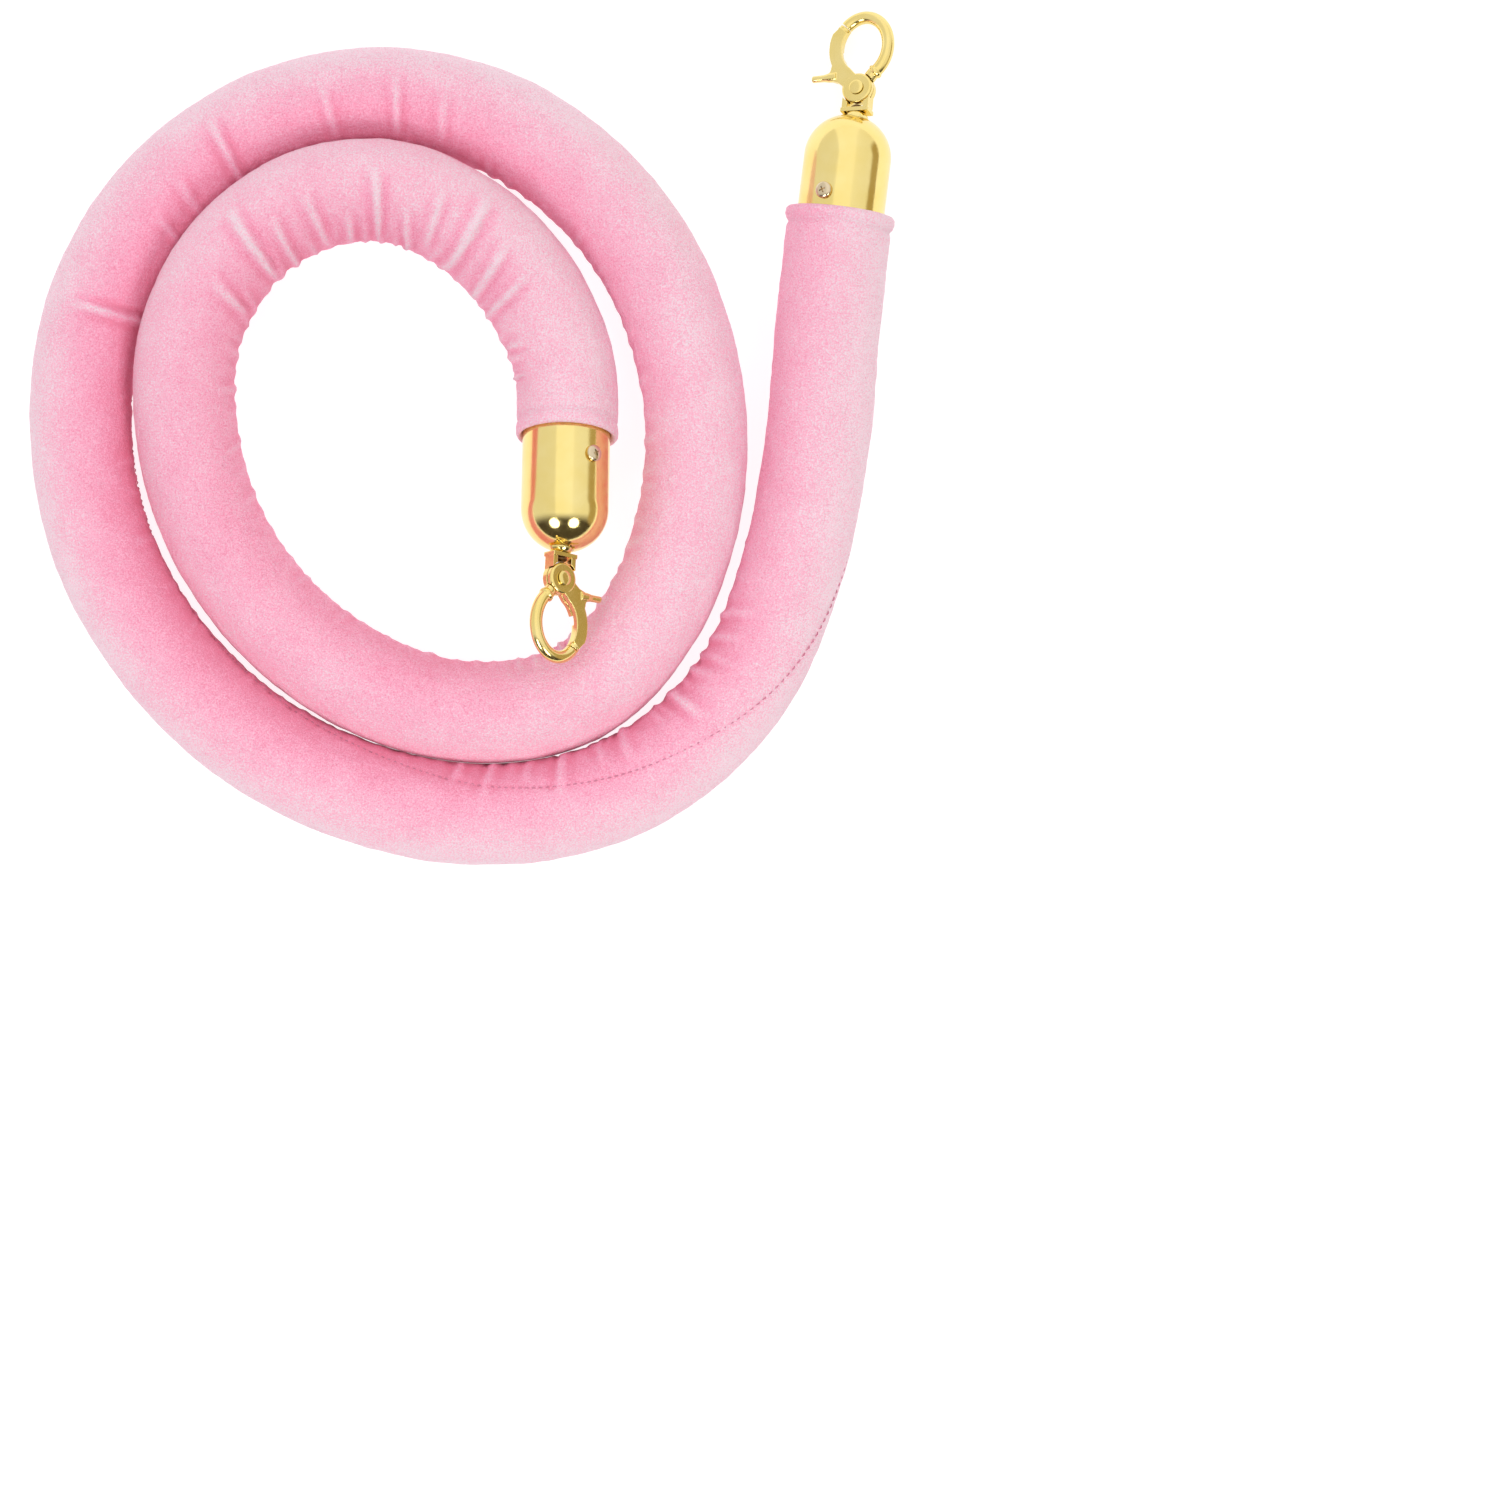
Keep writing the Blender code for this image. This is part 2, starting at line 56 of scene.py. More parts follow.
# Where each end lies, as in the CAD model
BOX_CENTRE = Vector((-0.0004, 0.00118, 0.0))
END_A = {
    "cap_top": (0.1332, 0.1112, 0.0152),
    "cap": (7.0, -2.5),
    "hook_top": (0.1344, 0.1108, 0.0152),
    "hook": (5.5, -18.0),
    "roll": 23.0,
    "hem": 0.0336,
    "screw": (0.0285, 26.0),
}
END_B = {
    "cap_top": (0.0346, -0.0391, 0.0375),
    "cap": (180.8, 16.0),
    "hook_top": (0.0336, -0.0391, 0.0377),
    "hook": (182.5, 12.0),
    "roll": 40.0,
    "hem": 0.0406,
    "screw": (0.0312, 39.0),
}

# The rope's middle line between the caps, with heights above the line of a rope lying flat
LYING_HEIGHT = 0.016517
NECK = 0.0535
ROUTE = [
    (0.1240, 0.0355, 0.0006),
    (0.1215, 0.0030, 0.0),
    (0.1130, -0.0425, 0.0),
    (0.0945, -0.0860, 0.0),
    (0.0580, -0.1180, 0.0),
    (0.0115, -0.1290, 0.0),
    (-0.0340, -0.1220, 0.0),
    (-0.0730, -0.1030, 0.0),
    (-0.1035, -0.0740, 0.0),
    (-0.1240, -0.0380, 0.0),
    (-0.1320, 0.0030, 0.0),
    (-0.1265, 0.0445, 0.0),
    (-0.1055, 0.0815, 0.0),
    (-0.0720, 0.1070, 0.0),
    (-0.0320, 0.1170, 0.0),
    (0.0070, 0.1105, 0.0),
    (0.0390, 0.0910, 0.0),
    (0.0615, 0.0645, 0.0),
    (0.0745, 0.0345, 0.0),
    (0.0795, 0.0030, 0.0),
    (0.0765, -0.0290, 0.0),
    (0.0640, -0.0610, 0.0),
    (0.0400, -0.0870, 0.0),
    (0.0055, -0.0945, 0.0),
    (-0.0275, -0.0870, 0.0),
    (-0.0545, -0.0710, 0.0003),
    (-0.0745, -0.0500, 0.0015),
    (-0.0885, -0.0250, 0.0037),
    (-0.0950, 0.0030, 0.0078),
    (-0.0940, 0.0330, 0.0130),
    (-0.0805, 0.0605, 0.0153),
    (-0.0560, 0.0795, 0.0158),
    (-0.0260, 0.0845, 0.0152),
    (0.0005, 0.0735, 0.0125),
    (0.0195, 0.0562, 0.0084),
    (0.0302, 0.0375, 0.0050),
]

# Velvet
ROPE_RADIUS = 0.0175
RINGS = 1000
SIDES = 96
EXTRA_RADIUS_A = 0.0006
FLOOR_GAP = 0.00005
TOUCH_GAP = 0.0001
TOUCH_REACH = 0.040
LEAST_TURN = 0.10

# Each hem's rolled edge, from inside the sleeve, round its lip, to the outside: depth from the rope's
# end, and the share of the way from the inner radius to the outer one
HEM_INNER_R = 0.01525
LIP = [
    (0.0080, 0.0),
    (0.0040, 0.0),
    (0.0012, 0.03),
    (0.0004, 0.22),
    (0.0, 0.5),
    (0.0003, 0.78),
    (0.0010, 0.95),
]
LIP_RINGS = 2
HEM_PUFF_A = 0.00085
HEM_PUFF_B = 0.00015
HEM_STITCHED = 0.00075
HEM_STITCHED_AT = 0.0054

# Strong folds of the cover: place along the rope from end A, the angles from and to (0 is the top and
# 90 the inside of the coil), height, width, and how far along the rope the fold slants
FOLDS = [
    (0.146, 20.0, 100.0, 0.00055, 0.0018, 0.0030),
    (0.157, 28.0, 104.0, 0.00075, 0.0017, 0.0030),
    (0.165, 10.0, 98.0, 0.00050, 0.0016, 0.0020),
    (0.173, 30.0, 102.0, 0.00065, 0.0018, 0.0020),
    (0.186, 6.0, 104.0, 0.00110, 0.0021, 0.0010),
    (0.197, 30.0, 100.0, 0.00060, 0.0017, 0.0),
    (0.213, 22.0, 104.0, 0.00085, 0.0020, -0.0020),
    (0.223, 32.0, 100.0, 0.00060, 0.0016, -0.0020),
    (0.240, 14.0, 104.0, 0.00095, 0.0020, -0.0030),
    (0.253, 34.0, 100.0, 0.00060, 0.0017, -0.0020),
    (0.268, 18.0, 104.0, 0.00080, 0.0018, -0.0030),
    (0.280, 30.0, 100.0, 0.00065, 0.0017, -0.0030),
    (0.523, -26.0, 88.0, 0.00140, 0.0015, 0.0010),
    (0.560, 14.0, 70.0, 0.00075, 0.0015, -0.0015),
    (0.574, 0.0, 72.0, 0.00075, 0.0017, -0.0020),
    (0.595, -30.0, 74.0, 0.00130, 0.0015, -0.0015),
    (0.635, -18.0, 60.0, 0.00075, 0.0015, 0.0010),
    (0.659, -24.0, 58.0, 0.00095, 0.0015, 0.0008),
    (0.676, -10.0, 55.0, 0.00065, 0.0016, 0.0015),
    (1.165, 0.0, 100.0, 0.00110, 0.0019, -0.0040),
    (1.186, -38.0, 96.0, 0.00155, 0.0018, -0.0030),
    (1.196, 0.0, 100.0, 0.00120, 0.0017, -0.0020),
    (1.212, -6.0, 84.0, 0.00105, 0.0017, 0.0010),
    (1.224, 26.0, 96.0, 0.00090, 0.0017, 0.0),
    (1.236, -24.0, 92.0, 0.00140, 0.0016, 0.0020),
    (1.250, 14.0, 92.0, 0.00090, 0.0017, 0.0040),
    (1.257, -20.0, 60.0, 0.00085, 0.0015, 0.0020),
    (1.270, -44.0, 84.0, 0.00150, 0.0018, 0.0020),
    (1.285, -12.0, 88.0, 0.00125, 0.0018, 0.0040),
    (1.296, -6.0, 92.0, 0.00100, 0.0016, 0.0030),
    (1.314, 34.0, 110.0, 0.00085, 0.0016, 0.0),
]

# Small gathers between the strong folds
GATHERS_SEED = 11
GATHERS_START = 0.120

# How the velvet's colour runs at places along the rope: how much paler the outside of a bend is than its
# middle, where the pile lies open, and how much deeper the inside is, partly from the pile and partly as
# painted crease shade;
# and how much paler the whole is
NAP_PLACES = [0.0, 0.10, 0.20, 0.30, 0.65, 0.72, 0.80, 0.90, 0.98, 1.10, 1.16, 1.28, 1.34]
PILE_AND_SHADE_SWING = [0.28, 0.32, 0.42, 0.50, 0.52, 0.44, 0.20, 0.10, 0.22, 0.10, 0.30, 0.14, 0.08]
NAP_SHIFT = [0.26, 0.22, 0.08, 0.00, 0.00, 0.14, 0.22, 0.27, 0.04, 0.05, 0.08, 0.24, 0.32]

# The sewn seam winds slowly round the rope: the angle from the top towards the inside at each place
SEAM_PLACES = [0.0, 0.07, 0.13, 0.15, 0.19, 0.23, 0.27, 0.32, 0.40, 0.60, 1.36]
SEAM_ANGLES = [-104.0, -100.0, -82.0, -50.0, -6.0, 20.0, 33.0, 60.0, 84.0, 112.0, 150.0]
SEAM_WIDTH = 0.0010
SEAM_DEPTH = 0.0003
STITCH_MARGIN = 0.012
STITCH_PITCH = 0.0025
STITCH_HALF = 0.0008
STITCH_SIDES = 6
THREAD_R = 0.00026

# Caps
CAP_R = 0.0150
CAP_WALL = 0.0010
CAP_LENGTH = 0.0500
POST_HOLE_R = 0.0030

# Cap screws, in a frame with Z out along the screw and 0 on the cap's axis
SCREW_HOLE_R = 0.00175
SCREW_POINT = 0.0058
THREAD_LOW = 0.0078
THREAD_TURNS = 9
THREAD_PITCH = 0.0008
SHANK_R = 0.00145
SHANK_ROOT_R = 0.00118
HEAD_LOW = 0.0153
HEAD_R = 0.0029
HEAD_EDGE = 0.0006
HEAD_CROWN = 0.0011
CROSS_HALF = (0.0017, 0.00030)

# Snap hooks, in the hook's own frame: X to the trigger side, Y out of the face, Z along the hook
FOOT_LOW = 0.0009
FOOT_TOP = 0.0024
FOOT_HALF = (0.0051, 0.0029)
BLOCK_TOP = 0.0078
BLOCK_HALF = (0.0048, 0.0024)
WINDOW_HALF = 0.0029
WINDOW_TOP = 0.0049
PIVOT_Z = 0.0098
EYE_R = 0.0055
KEEP_OUT_R = 0.0058
SPLIT = 0.00015
RING_Z = 0.0255
RING_A = 0.0093
RING_B = 0.0114
WIRE_R = 0.0022
PLATE = 0.0024
SPRING_ROOM_R = 0.0042
SPRING_ROOM = 0.00125
RIVET_R = 0.0013
RIVET_HOLE_R = 0.0016
RIVET_GAP = 0.0003
RIVET_HEAD_R = 0.0025
POST_R = 0.00165
POST_HEIGHT = 0.0030
PEG_Y = 0.00135
PEG_TIP_X = 0.0166
PEG_TIP_R = 0.0012

# The castings are remeshed at this voxel size and smoothed this many times, which rounds their edges
CASTING_VOXEL = 0.00016
CASTING_ROUNDING = 5

# Studio
CAMERA_PLACE = (0.0979, -0.1068, 2.5)
CAMERA_LENS = 173.7
SENSOR_WIDTH = 36.0
ROOM_LIGHT = 1.07
SOFTBOXES = {"softbox_left": (-0.75, -1.15, 1.30), "softbox_right": (0.75, -1.15, 1.30)}
SOFTBOX_SIZE = 0.75
SOFTBOX_POWER = 9.5
LIGHT_TARGET = (0.0, -0.02, 0.0)
FLOOR_COLOUR = (0.32, 0.32, 0.32, 1.0)
FLOOR_GLOW = 0.80


# Frames and curves ------------------------------------------------------------------------------


def heading(azimuth, pitch):
    """The unit vector at an azimuth, clockwise from +Y, and a pitch above the horizontal."""
    turn = math.radians(azimuth)
    rise = math.radians(pitch)
    flat = math.cos(rise)
    return Vector((math.sin(turn) * flat, math.cos(turn) * flat, math.sin(rise)))


def end_frame(top, angles, roll=0.0):
    """The matrix of an end's own frame: Z along the heading, X level on its left, then rolled down."""
    z_axis = heading(*angles)
    x_axis = Vector((0.0, 0.0, 1.0)).cross(z_axis).normalized()
    y_axis = z_axis.cross(x_axis)
    turn = Matrix((x_axis, y_axis, z_axis)).transposed().to_4x4()
    place = Matrix.Translation(Vector(top) - BOX_CENTRE)
    return place @ turn @ Matrix.Rotation(math.radians(-roll), 4, "Z")


def cap_frame(end):
    return end_frame(end["cap_top"], end["cap"])


def hook_frame(end):
    return end_frame(end["hook_top"], end["hook"], end["roll"])


def on_cap_axis(end, distance):
    """The point on a cap's axis at a distance from its top, before BOX_CENTRE is taken off."""
    return np.array(Vector(end["cap_top"]) - heading(*end["cap"]) * distance)


def smooth_through(points, steps=24):
    """A smooth curve (uniform Catmull-Rom) through the points."""
    ends = [2 * points[0] - points[1], *points, 2 * points[-1] - points[-2]]
    curve = []
    for a, b, c, d in zip(ends, ends[1:], ends[2:], ends[3:]):
        for step in range(steps):
            t = step / steps
            even = 2 * b + (c - a) * t
            curve.append(0.5 * (even + (2 * a - 5 * b + 4 * c - d) * t**2 + (3 * (b - c) + d - a) * t**3))
    curve.append(points[-1])
    return np.array(curve)


def lengths_along(points):
    steps = np.linalg.norm(np.diff(points, axis=0), axis=1)
    return np.concatenate([[0.0], np.cumsum(steps)])


def resampled(points, count):
    """Points at equal distances along the curve, both ends included."""
    along = lengths_along(points)
    goals = np.linspace(0.0, along[-1], count)
    return np.stack([np.interp(goals, along, points[:, axis]) for axis in range(3)], axis=1)


def blurred(values, reach):
    """The values along the rope averaged over about this many samples each way, with the ends held."""
    offsets = np.arange(-3 * reach, 3 * reach + 1)
    weights = np.exp(-0.5 * (offsets / reach) ** 2)
    weights /= weights.sum()
    padded = np.concatenate([
        2 * values[:1] - values[3 * reach : 0 : -1],
        values,
        2 * values[-1:] - values[-2 : -3 * reach - 2 : -1],
    ])
    if values.ndim == 1:
        return np.convolve(padded, weights, mode="valid")
    return np.stack([np.convolve(padded[:, axis], weights, mode="valid") for axis in range(3)], axis=1)


def rope_line():
    """The rope's middle line from hem to hem, as RINGS points in the row's frame."""
    route = [np.array(point) + (0.0, 0.0, LYING_HEIGHT) for point in ROUTE]
    start = [on_cap_axis(END_A, NECK), on_cap_axis(END_A, 0.0620)]
    stop = [on_cap_axis(END_B, 0.0640), on_cap_axis(END_B, NECK)]
    curve = smooth_through([*start, *route, *stop])
    curve[:, 2] = np.maximum(curve[:, 2], LYING_HEIGHT)
    curve = np.concatenate([[on_cap_axis(END_A, END_A["hem"])], curve, [on_cap_axis(END_B, END_B["hem"])]])
    curve = blurred(resampled(curve, RINGS), 6)
    return resampled(curve, RINGS) - np.array(BOX_CENTRE)


# Noise ------------------------------------------------------------------------------------------


def noise(x, y, period, seed):
    """Smooth value noise from -1 to 1, which repeats in y after a whole number of cells."""
    table = np.random.default_rng(seed).uniform(-1.0, 1.0, (256, 256))
    cell_x = np.floor(x).astype(int)
    cell_y = np.floor(y).astype(int)
    share_x = x - cell_x
    share_y = y - cell_y
    share_x = share_x**2 * (3 - 2 * share_x)
    share_y = share_y**2 * (3 - 2 * share_y)

    def corner(step_x, step_y):
        return table[(cell_x + step_x) % 256, ((cell_y + step_y) % period) % 256]

    near = corner(0, 0) * (1 - share_y) + corner(0, 1) * share_y
    far = corner(1, 0) * (1 - share_y) + corner(1, 1) * share_y
    return near * (1 - share_x) + far * share_x


def smoothstep(low, high, value):
    share = np.clip((value - low) / (high - low), 0.0, 1.0)
    return share**2 * (3 - 2 * share)


# Meshes -----------------------------------------------------------------------------------------


def finish_mesh(bm, name="tool"):
    """Closes off a bmesh as a mesh whose faces point out."""
    bmesh.ops.recalc_face_normals(bm, faces=bm.faces)
    mesh = bpy.data.meshes.new(name)
    bm.to_mesh(mesh)
    bm.free()
    return mesh


def turned(outline, steps, ring=False):
    """The outline, as (radius, height) pairs, turned about Z. A ring's outline doesn't meet the axis."""
    bm = bmesh.new()
    points = [bm.verts.new((radius, 0.0, height)) for radius, height in outline]
    pairs = list(zip(points, points[1:]))
    if ring:
        pairs.append((points[-1], points[0]))
    edges = [bm.edges.new(pair) for pair in pairs]
    bmesh.ops.spin(
        bm,
        geom=points + edges,
        cent=(0, 0, 0),
        axis=(0, 0, 1),
        angle=2 * math.pi,
        steps=steps,
        use_merge=True,
    )
    bmesh.ops.remove_doubles(bm, verts=bm.verts, dist=1e-6)
    return finish_mesh(bm)


def box(low, high):
    bm = bmesh.new()
    bmesh.ops.create_cube(bm, size=1.0)
    size = Vector(high) - Vector(low)
    bmesh.ops.scale(bm, verts=bm.verts, vec=size)
    bmesh.ops.translate(bm, verts=bm.verts, vec=Vector(low) + size / 2)
    return finish_mesh(bm)


def plate(outline, low, high):
    """The outline, as (x, z) pairs, extruded along Y from low to high."""
    bm = bmesh.new()
    face = bm.faces.new([bm.verts.new((x, low, z)) for x, z in outline])
    grown = bmesh.ops.extrude_face_region(bm, geom=[face])
    raised = [item for item in grown["geom"] if isinstance(item, bmesh.types.BMVert)]
    bmesh.ops.translate(bm, verts=raised, vec=(0.0, high - low, 0.0))
    return finish_mesh(bm)


def skin(bm, rings):
    """Joins rings of vertices into a tube, with a face over each end."""
    sides = len(rings[0])
    for near, far in zip(rings, rings[1:]):
        for side in range(sides):
            after = (side + 1) % sides
            bm.faces.new((near[side], near[after], far[after], far[side]))
    bm.faces.new(rings[0])
    bm.faces.new(rings[-1])


def rod(path, radii, sides):
    """A round bar along a path in a plane of constant Y, with a flat face at each end."""
    bm = bmesh.new()
    rings = []
    for index, (x, y, z) in enumerate(path):
        before = Vector(path[max(index - 1, 0)])
        after = Vector(path[min(index + 1, len(path) - 1)])
        along = (after - before).normalized()
        across = Vector((0.0, 1.0, 0.0)).cross(along)
        ring = []
        for side in range(sides):
            turn = 2 * math.pi * (side + 0.5) / sides
            out = across * math.cos(turn) + Vector((0.0, 1.0, 0.0)) * math.sin(turn)
            ring.append(bm.verts.new(Vector((x, y, z)) + out * radii[index]))
        rings.append(ring)
    skin(bm, rings)
    return finish_mesh(bm)


def moved(mesh, matrix):
    mesh.transform(matrix)
    return mesh


def about_y(mesh, z):
    """Turns a mesh made about Z so that its axis lies along Y, through the given height."""
    return moved(mesh, Matrix.Translation((0.0, 0.0, z)) @ Matrix.Rotation(-math.pi / 2, 4, "X"))


def combined(mesh, *steps, voxel=None, rounding=0):
    """The mesh after each Boolean step, then remeshed and rounded like a casting if a voxel is given."""
    enlarge = Matrix.Scale(WORKING_SCALE, 4)
    body = bpy.data.objects.new("body", moved(mesh, enlarge))
    bpy.context.scene.collection.objects.link(body)
    tools = []
    for operation, tool_mesh in steps:
        tool = bpy.data.objects.new("tool", moved(tool_mesh, enlarge))
        bpy.context.scene.collection.objects.link(tool)
        tools.append(tool)
        step = body.modifiers.new(operation.title(), "BOOLEAN")
        step.operation = operation
        step.object = tool
        step.solver = "EXACT"
    if voxel:
        remesh = body.modifiers.new("Remesh", "REMESH")
        remesh.mode = "VOXEL"
        remesh.voxel_size = voxel * WORKING_SCALE
        smooth = body.modifiers.new("Round", "SMOOTH")
        smooth.factor = 0.5
        smooth.iterations = rounding
    bpy.context.view_layer.update()
    graph = bpy.context.evaluated_depsgraph_get()
    result = bpy.data.meshes.new_from_object(body.evaluated_get(graph))
    for obj in [body, *tools]:
        bpy.data.objects.remove(obj, do_unlink=True)
    return moved(result, enlarge.inverted())


def add(name, mesh, material, body, replaces=None, smooth=40.0):
    """Links a finished piece, which rides on a body and stands for the CAD node it replaces."""
    piece = bpy.data.objects.new(name, mesh)
    bpy.context.scene.collection.objects.link(piece)
    mesh.name = name
    mesh.materials.clear()
    mesh.materials.append(material)
    mesh.shade_smooth()
    if smooth:
        mesh.set_sharp_from_angle(angle=math.radians(smooth))
    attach(piece, body)
    if replaces:
        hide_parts(replaces)
    return piece


# Materials --------------------------------------------------------------------------------------


class Shader:
    """A material's node tree, built from the Principled shader outwards."""

    def __init__(self, name):
        self.material = bpy.data.materials.new(name)
        self.material.use_nodes = True
        self.nodes = self.material.node_tree.nodes
        self.links = self.material.node_tree.links
        self.shader = self.nodes["Principled BSDF"]

    def set(self, **sockets):
        for name, value in sockets.items():
            self.shader.inputs[name.replace("_", " ")].default_value = value

    def node(self, kind, settings=(), **sockets):
        """A new node, with settings on it and values or outputs on its input sockets."""
        node = self.nodes.new(kind)
        for name, value in dict(settings).items():
            setattr(node, name, value)
        for name, value in sockets.items():
            key = int(name[1:]) if name[0] == "_" else name.replace("_", " ")
            if isinstance(value, bpy.types.NodeSocket):
                self.links.new(value, node.inputs[key])
            else:
                node.inputs[key].default_value = value
        return node

    def coordinates(self, scale=(1.0, 1.0, 1.0)):
        place = self.node("ShaderNodeTexCoord").outputs["Object"]
        return self.node("ShaderNodeMapping", Vector=place, Scale=scale).outputs["Vector"]

    def noise(self, scale, detail=2.0, vector=None, roughness=0.5):
        vector = vector or self.coordinates()
        sockets = {"Vector": vector, "Scale": scale, "Detail": detail, "Roughness": roughness}
        return self.node("ShaderNodeTexNoise", **sockets).outputs["Fac"]

    def math(self, operation, first, second=0.0, third=0.0):
        node = self.node("ShaderNodeMath", {"operation": operation}, _0=first, _1=second, _2=third)
        return node.outputs["Value"]

    def between(self, value, low, high, to_low=0.0, to_high=1.0):
        node = self.node("ShaderNodeMapRange", Value=value, From_Min=low, From_Max=high)
        node.inputs["To Min"].default_value = to_low
        node.inputs["To Max"].default_value = to_high
        return node.outputs["Result"]

    def ramp(self, value, *stops):
        """A colour ramp of (position, colour) stops."""
        node = self.node("ShaderNodeValToRGB", Fac=value)
        band = node.color_ramp
        while len(band.elements) < len(stops):
            band.elements.new(0.5)
        for element, (position, colour) in zip(band.elements, stops):
            element.position = position
            element.color = (*colour, 1.0)
        return node.outputs["Color"]

    def mix(self, share, first, second, kind="MIX"):
        node = self.node("ShaderNodeMix", {"data_type": "RGBA", "blend_type": kind})
        for socket, value in ((node.inputs[0], share), (node.inputs[6], first), (node.inputs[7], second)):
            if isinstance(value, bpy.types.NodeSocket):
                self.links.new(value, socket)
            else:
                socket.default_value = value
        return node.outputs[2]

    def link(self, output, socket):
        self.links.new(output, self.shader.inputs[socket])

    def bump(self, height, distance, strength=1.0, normal=None):
        node = self.node("ShaderNodeBump", Height=height, Distance=distance, Strength=strength)
        if normal:
            self.links.new(normal, node.inputs["Normal"])
        return node.outputs["Normal"]


def velvet_material():
    """Short pink pile: pale where it leans open on the outside of a bend, deep where it closes inside,
    deepened further there by painted crease shade, with a painted highlight on fold ridges and painted shade
    in fold valleys.
    """
    made = Shader("pink_velvet")
    nap_and_shade = made.node("ShaderNodeAttribute", {"attribute_name": "nap_and_shade"}).outputs["Fac"]
    # Fine speckle, partly random fibre tone and partly painted glints on the pile tips
    pile = made.noise(1900.0, detail=3.0, roughness=0.65)
    patch = made.noise(70.0, detail=3.0)
    speckle = made.between(pile, 0.3, 0.7, -0.5, 0.5)
    nap_and_shade = made.math("MULTIPLY_ADD", speckle, 0.90, nap_and_shade)
    nap_and_shade = made.math("MULTIPLY_ADD", made.between(patch, 0.3, 0.7, -0.5, 0.5), 0.12, nap_and_shade)
    # The deep end of this ramp also stands for painted crease shade and painted shade in fold valleys
    colour = made.ramp(
        nap_and_shade,
        (0.0, (0.90, 0.270, 0.405)),
        (0.20, (0.94, 0.325, 0.480)),
        (0.35, (0.96, 0.375, 0.540)),
        (0.50, (0.98, 0.435, 0.595)),
        (0.68, (0.98, 0.505, 0.650)),
        (0.84, (0.97, 0.595, 0.712)),
        (1.0, (0.95, 0.730, 0.810)),
    )
    made.link(colour, "Base Color")
    made.set(Roughness=0.92, Sheen_Weight=0.12, Sheen_Roughness=0.45)
    made.shader.inputs["Sheen Tint"].default_value = (1.0, 0.84, 0.90, 1.0)
    made.shader.inputs["Specular IOR Level"].default_value = 0.15
    fine = made.noise(1700.0, detail=2.0, roughness=0.6)
    tufts = made.noise(420.0, detail=2.0)
    normal = made.bump(tufts, 0.0008, 0.7)
    made.link(made.bump(fine, 0.0006, 0.9, normal), "Normal")
    return made.material


def thread_material():
    made = Shader("seam_thread")
    twist = made.noise(2600.0, detail=2.0)
    made.link(made.ramp(twist, (0.3, (0.56, 0.15, 0.25)), (0.7, (0.76, 0.29, 0.41))), "Base Color")
    made.set(Roughness=0.7, Sheen_Weight=0.2)
    made.link(made.bump(twist, 0.0001, 0.7), "Normal")
    return made.material


def gold_material(name, colour, worn, roughness, cast):
    """Gold plate over a metal part: faintly wavy, with rougher patches and paler rubbed spots."""
    made = Shader(name)
    patch = made.noise(90.0, detail=4.0)
    smear = made.noise(700.0, detail=3.0, vector=made.coordinates((1.0, 1.0, 0.25)))
    share = made.between(patch, 0.35, 0.7)
    made.link(made.mix(share, (*colour, 1.0), (*worn, 1.0)), "Base Color")
    low, high = roughness
    rough = made.math("MULTIPLY_ADD", made.between(smear, 0.3, 0.75), high - low, low)
    made.link(rough, "Roughness")
    made.set(Metallic=1.0)
    waves = made.noise(160.0, detail=1.0)
    normal = made.bump(waves, 0.0004, cast)
    grain = made.noise(3200.0, detail=2.0)
    made.link(made.bump(grain, 0.00002, 0.5, normal), "Normal")
    return made.material


def steel_material(name, colour):
    made = Shader(name)
    patch = made.noise(900.0, detail=3.0)
    darker = tuple(part * 0.6 for part in colour)
    made.link(made.ramp(patch, (0.35, darker), (0.65, colour)), "Base Color")
    made.link(made.between(patch, 0.3, 0.7, 0.25, 0.45), "Roughness")
    made.set(Metallic=1.0)
    made.link(made.bump(patch, 0.00005, 0.6), "Normal")
    return made.material


def wood_material():
    made = Shader("beech_plug")
    rings = made.noise(260.0, detail=4.0, vector=made.coordinates((1.0, 0.12, 1.0)))
    made.link(made.ramp(rings, (0.3, (0.36, 0.20, 0.09)), (0.7, (0.62, 0.41, 0.21))), "Base Color")
    made.set(Roughness=0.65)
    made.link(made.bump(rings, 0.0002, 0.4), "Normal")
    return made.material


def foam_material():
    made = Shader("cotton_and_foam")
    cells = made.noise(800.0, detail=4.0)
    made.link(made.ramp(cells, (0.3, (0.66, 0.62, 0.54)), (0.7, (0.90, 0.88, 0.82))), "Base Color")
    made.set(Roughness=0.95, Sheen_Weight=0.15)
    made.link(made.bump(cells, 0.0006, 0.6), "Normal")
    return made.material


# Velvet -----------------------------------------------------------------------------------------


def ring_directions(line):
    """Unit vectors along the rope, up from it, and to its right, which is the inside of the coil."""
    along = np.gradient(line, axis=0)
    along /= np.linalg.norm(along, axis=1)[:, None]
    up = np.array([0.0, 0.0, 1.0]) - along * along[:, 2:3]
    up /= np.linalg.norm(up, axis=1)[:, None]
    return along, up, np.cross(along, up)


def bend_of(line, along):
    """How tightly the rope turns to its right at each ring, in 1/m, smoothed along the rope."""
    turn = np.cross(along[:-1], along[1:])[:, 2]
    step = np.linalg.norm(np.diff(line, axis=0), axis=1)
    bend = -np.concatenate([turn / step, turn[-1:] / step[-1:]])
    return blurred(bend, 12)


def gathers(bend, length):
    """Small gathers of the cover on the inside of each bend, as rows like those of FOLDS."""
    pick = np.random.default_rng(GATHERS_SEED)
    rows = []
    place = GATHERS_START
    while place < length - 0.012:
        tight = float(np.interp(place, np.linspace(0.0, length, len(bend)), bend))
        strength = min(max(tight / 10.0 - 0.25, 0.0), 1.2)
        low = pick.uniform(38.0, 62.0)
        high = pick.uniform(100.0, 125.0)
        height = strength * pick.uniform(0.00020, 0.00085)
        rows.append((place, low, high, height, pick.uniform(0.0011, 0.0022), pick.uniform(-0.004, 0.004)))
        place += pick.uniform(0.0045, 0.0120)
    return rows


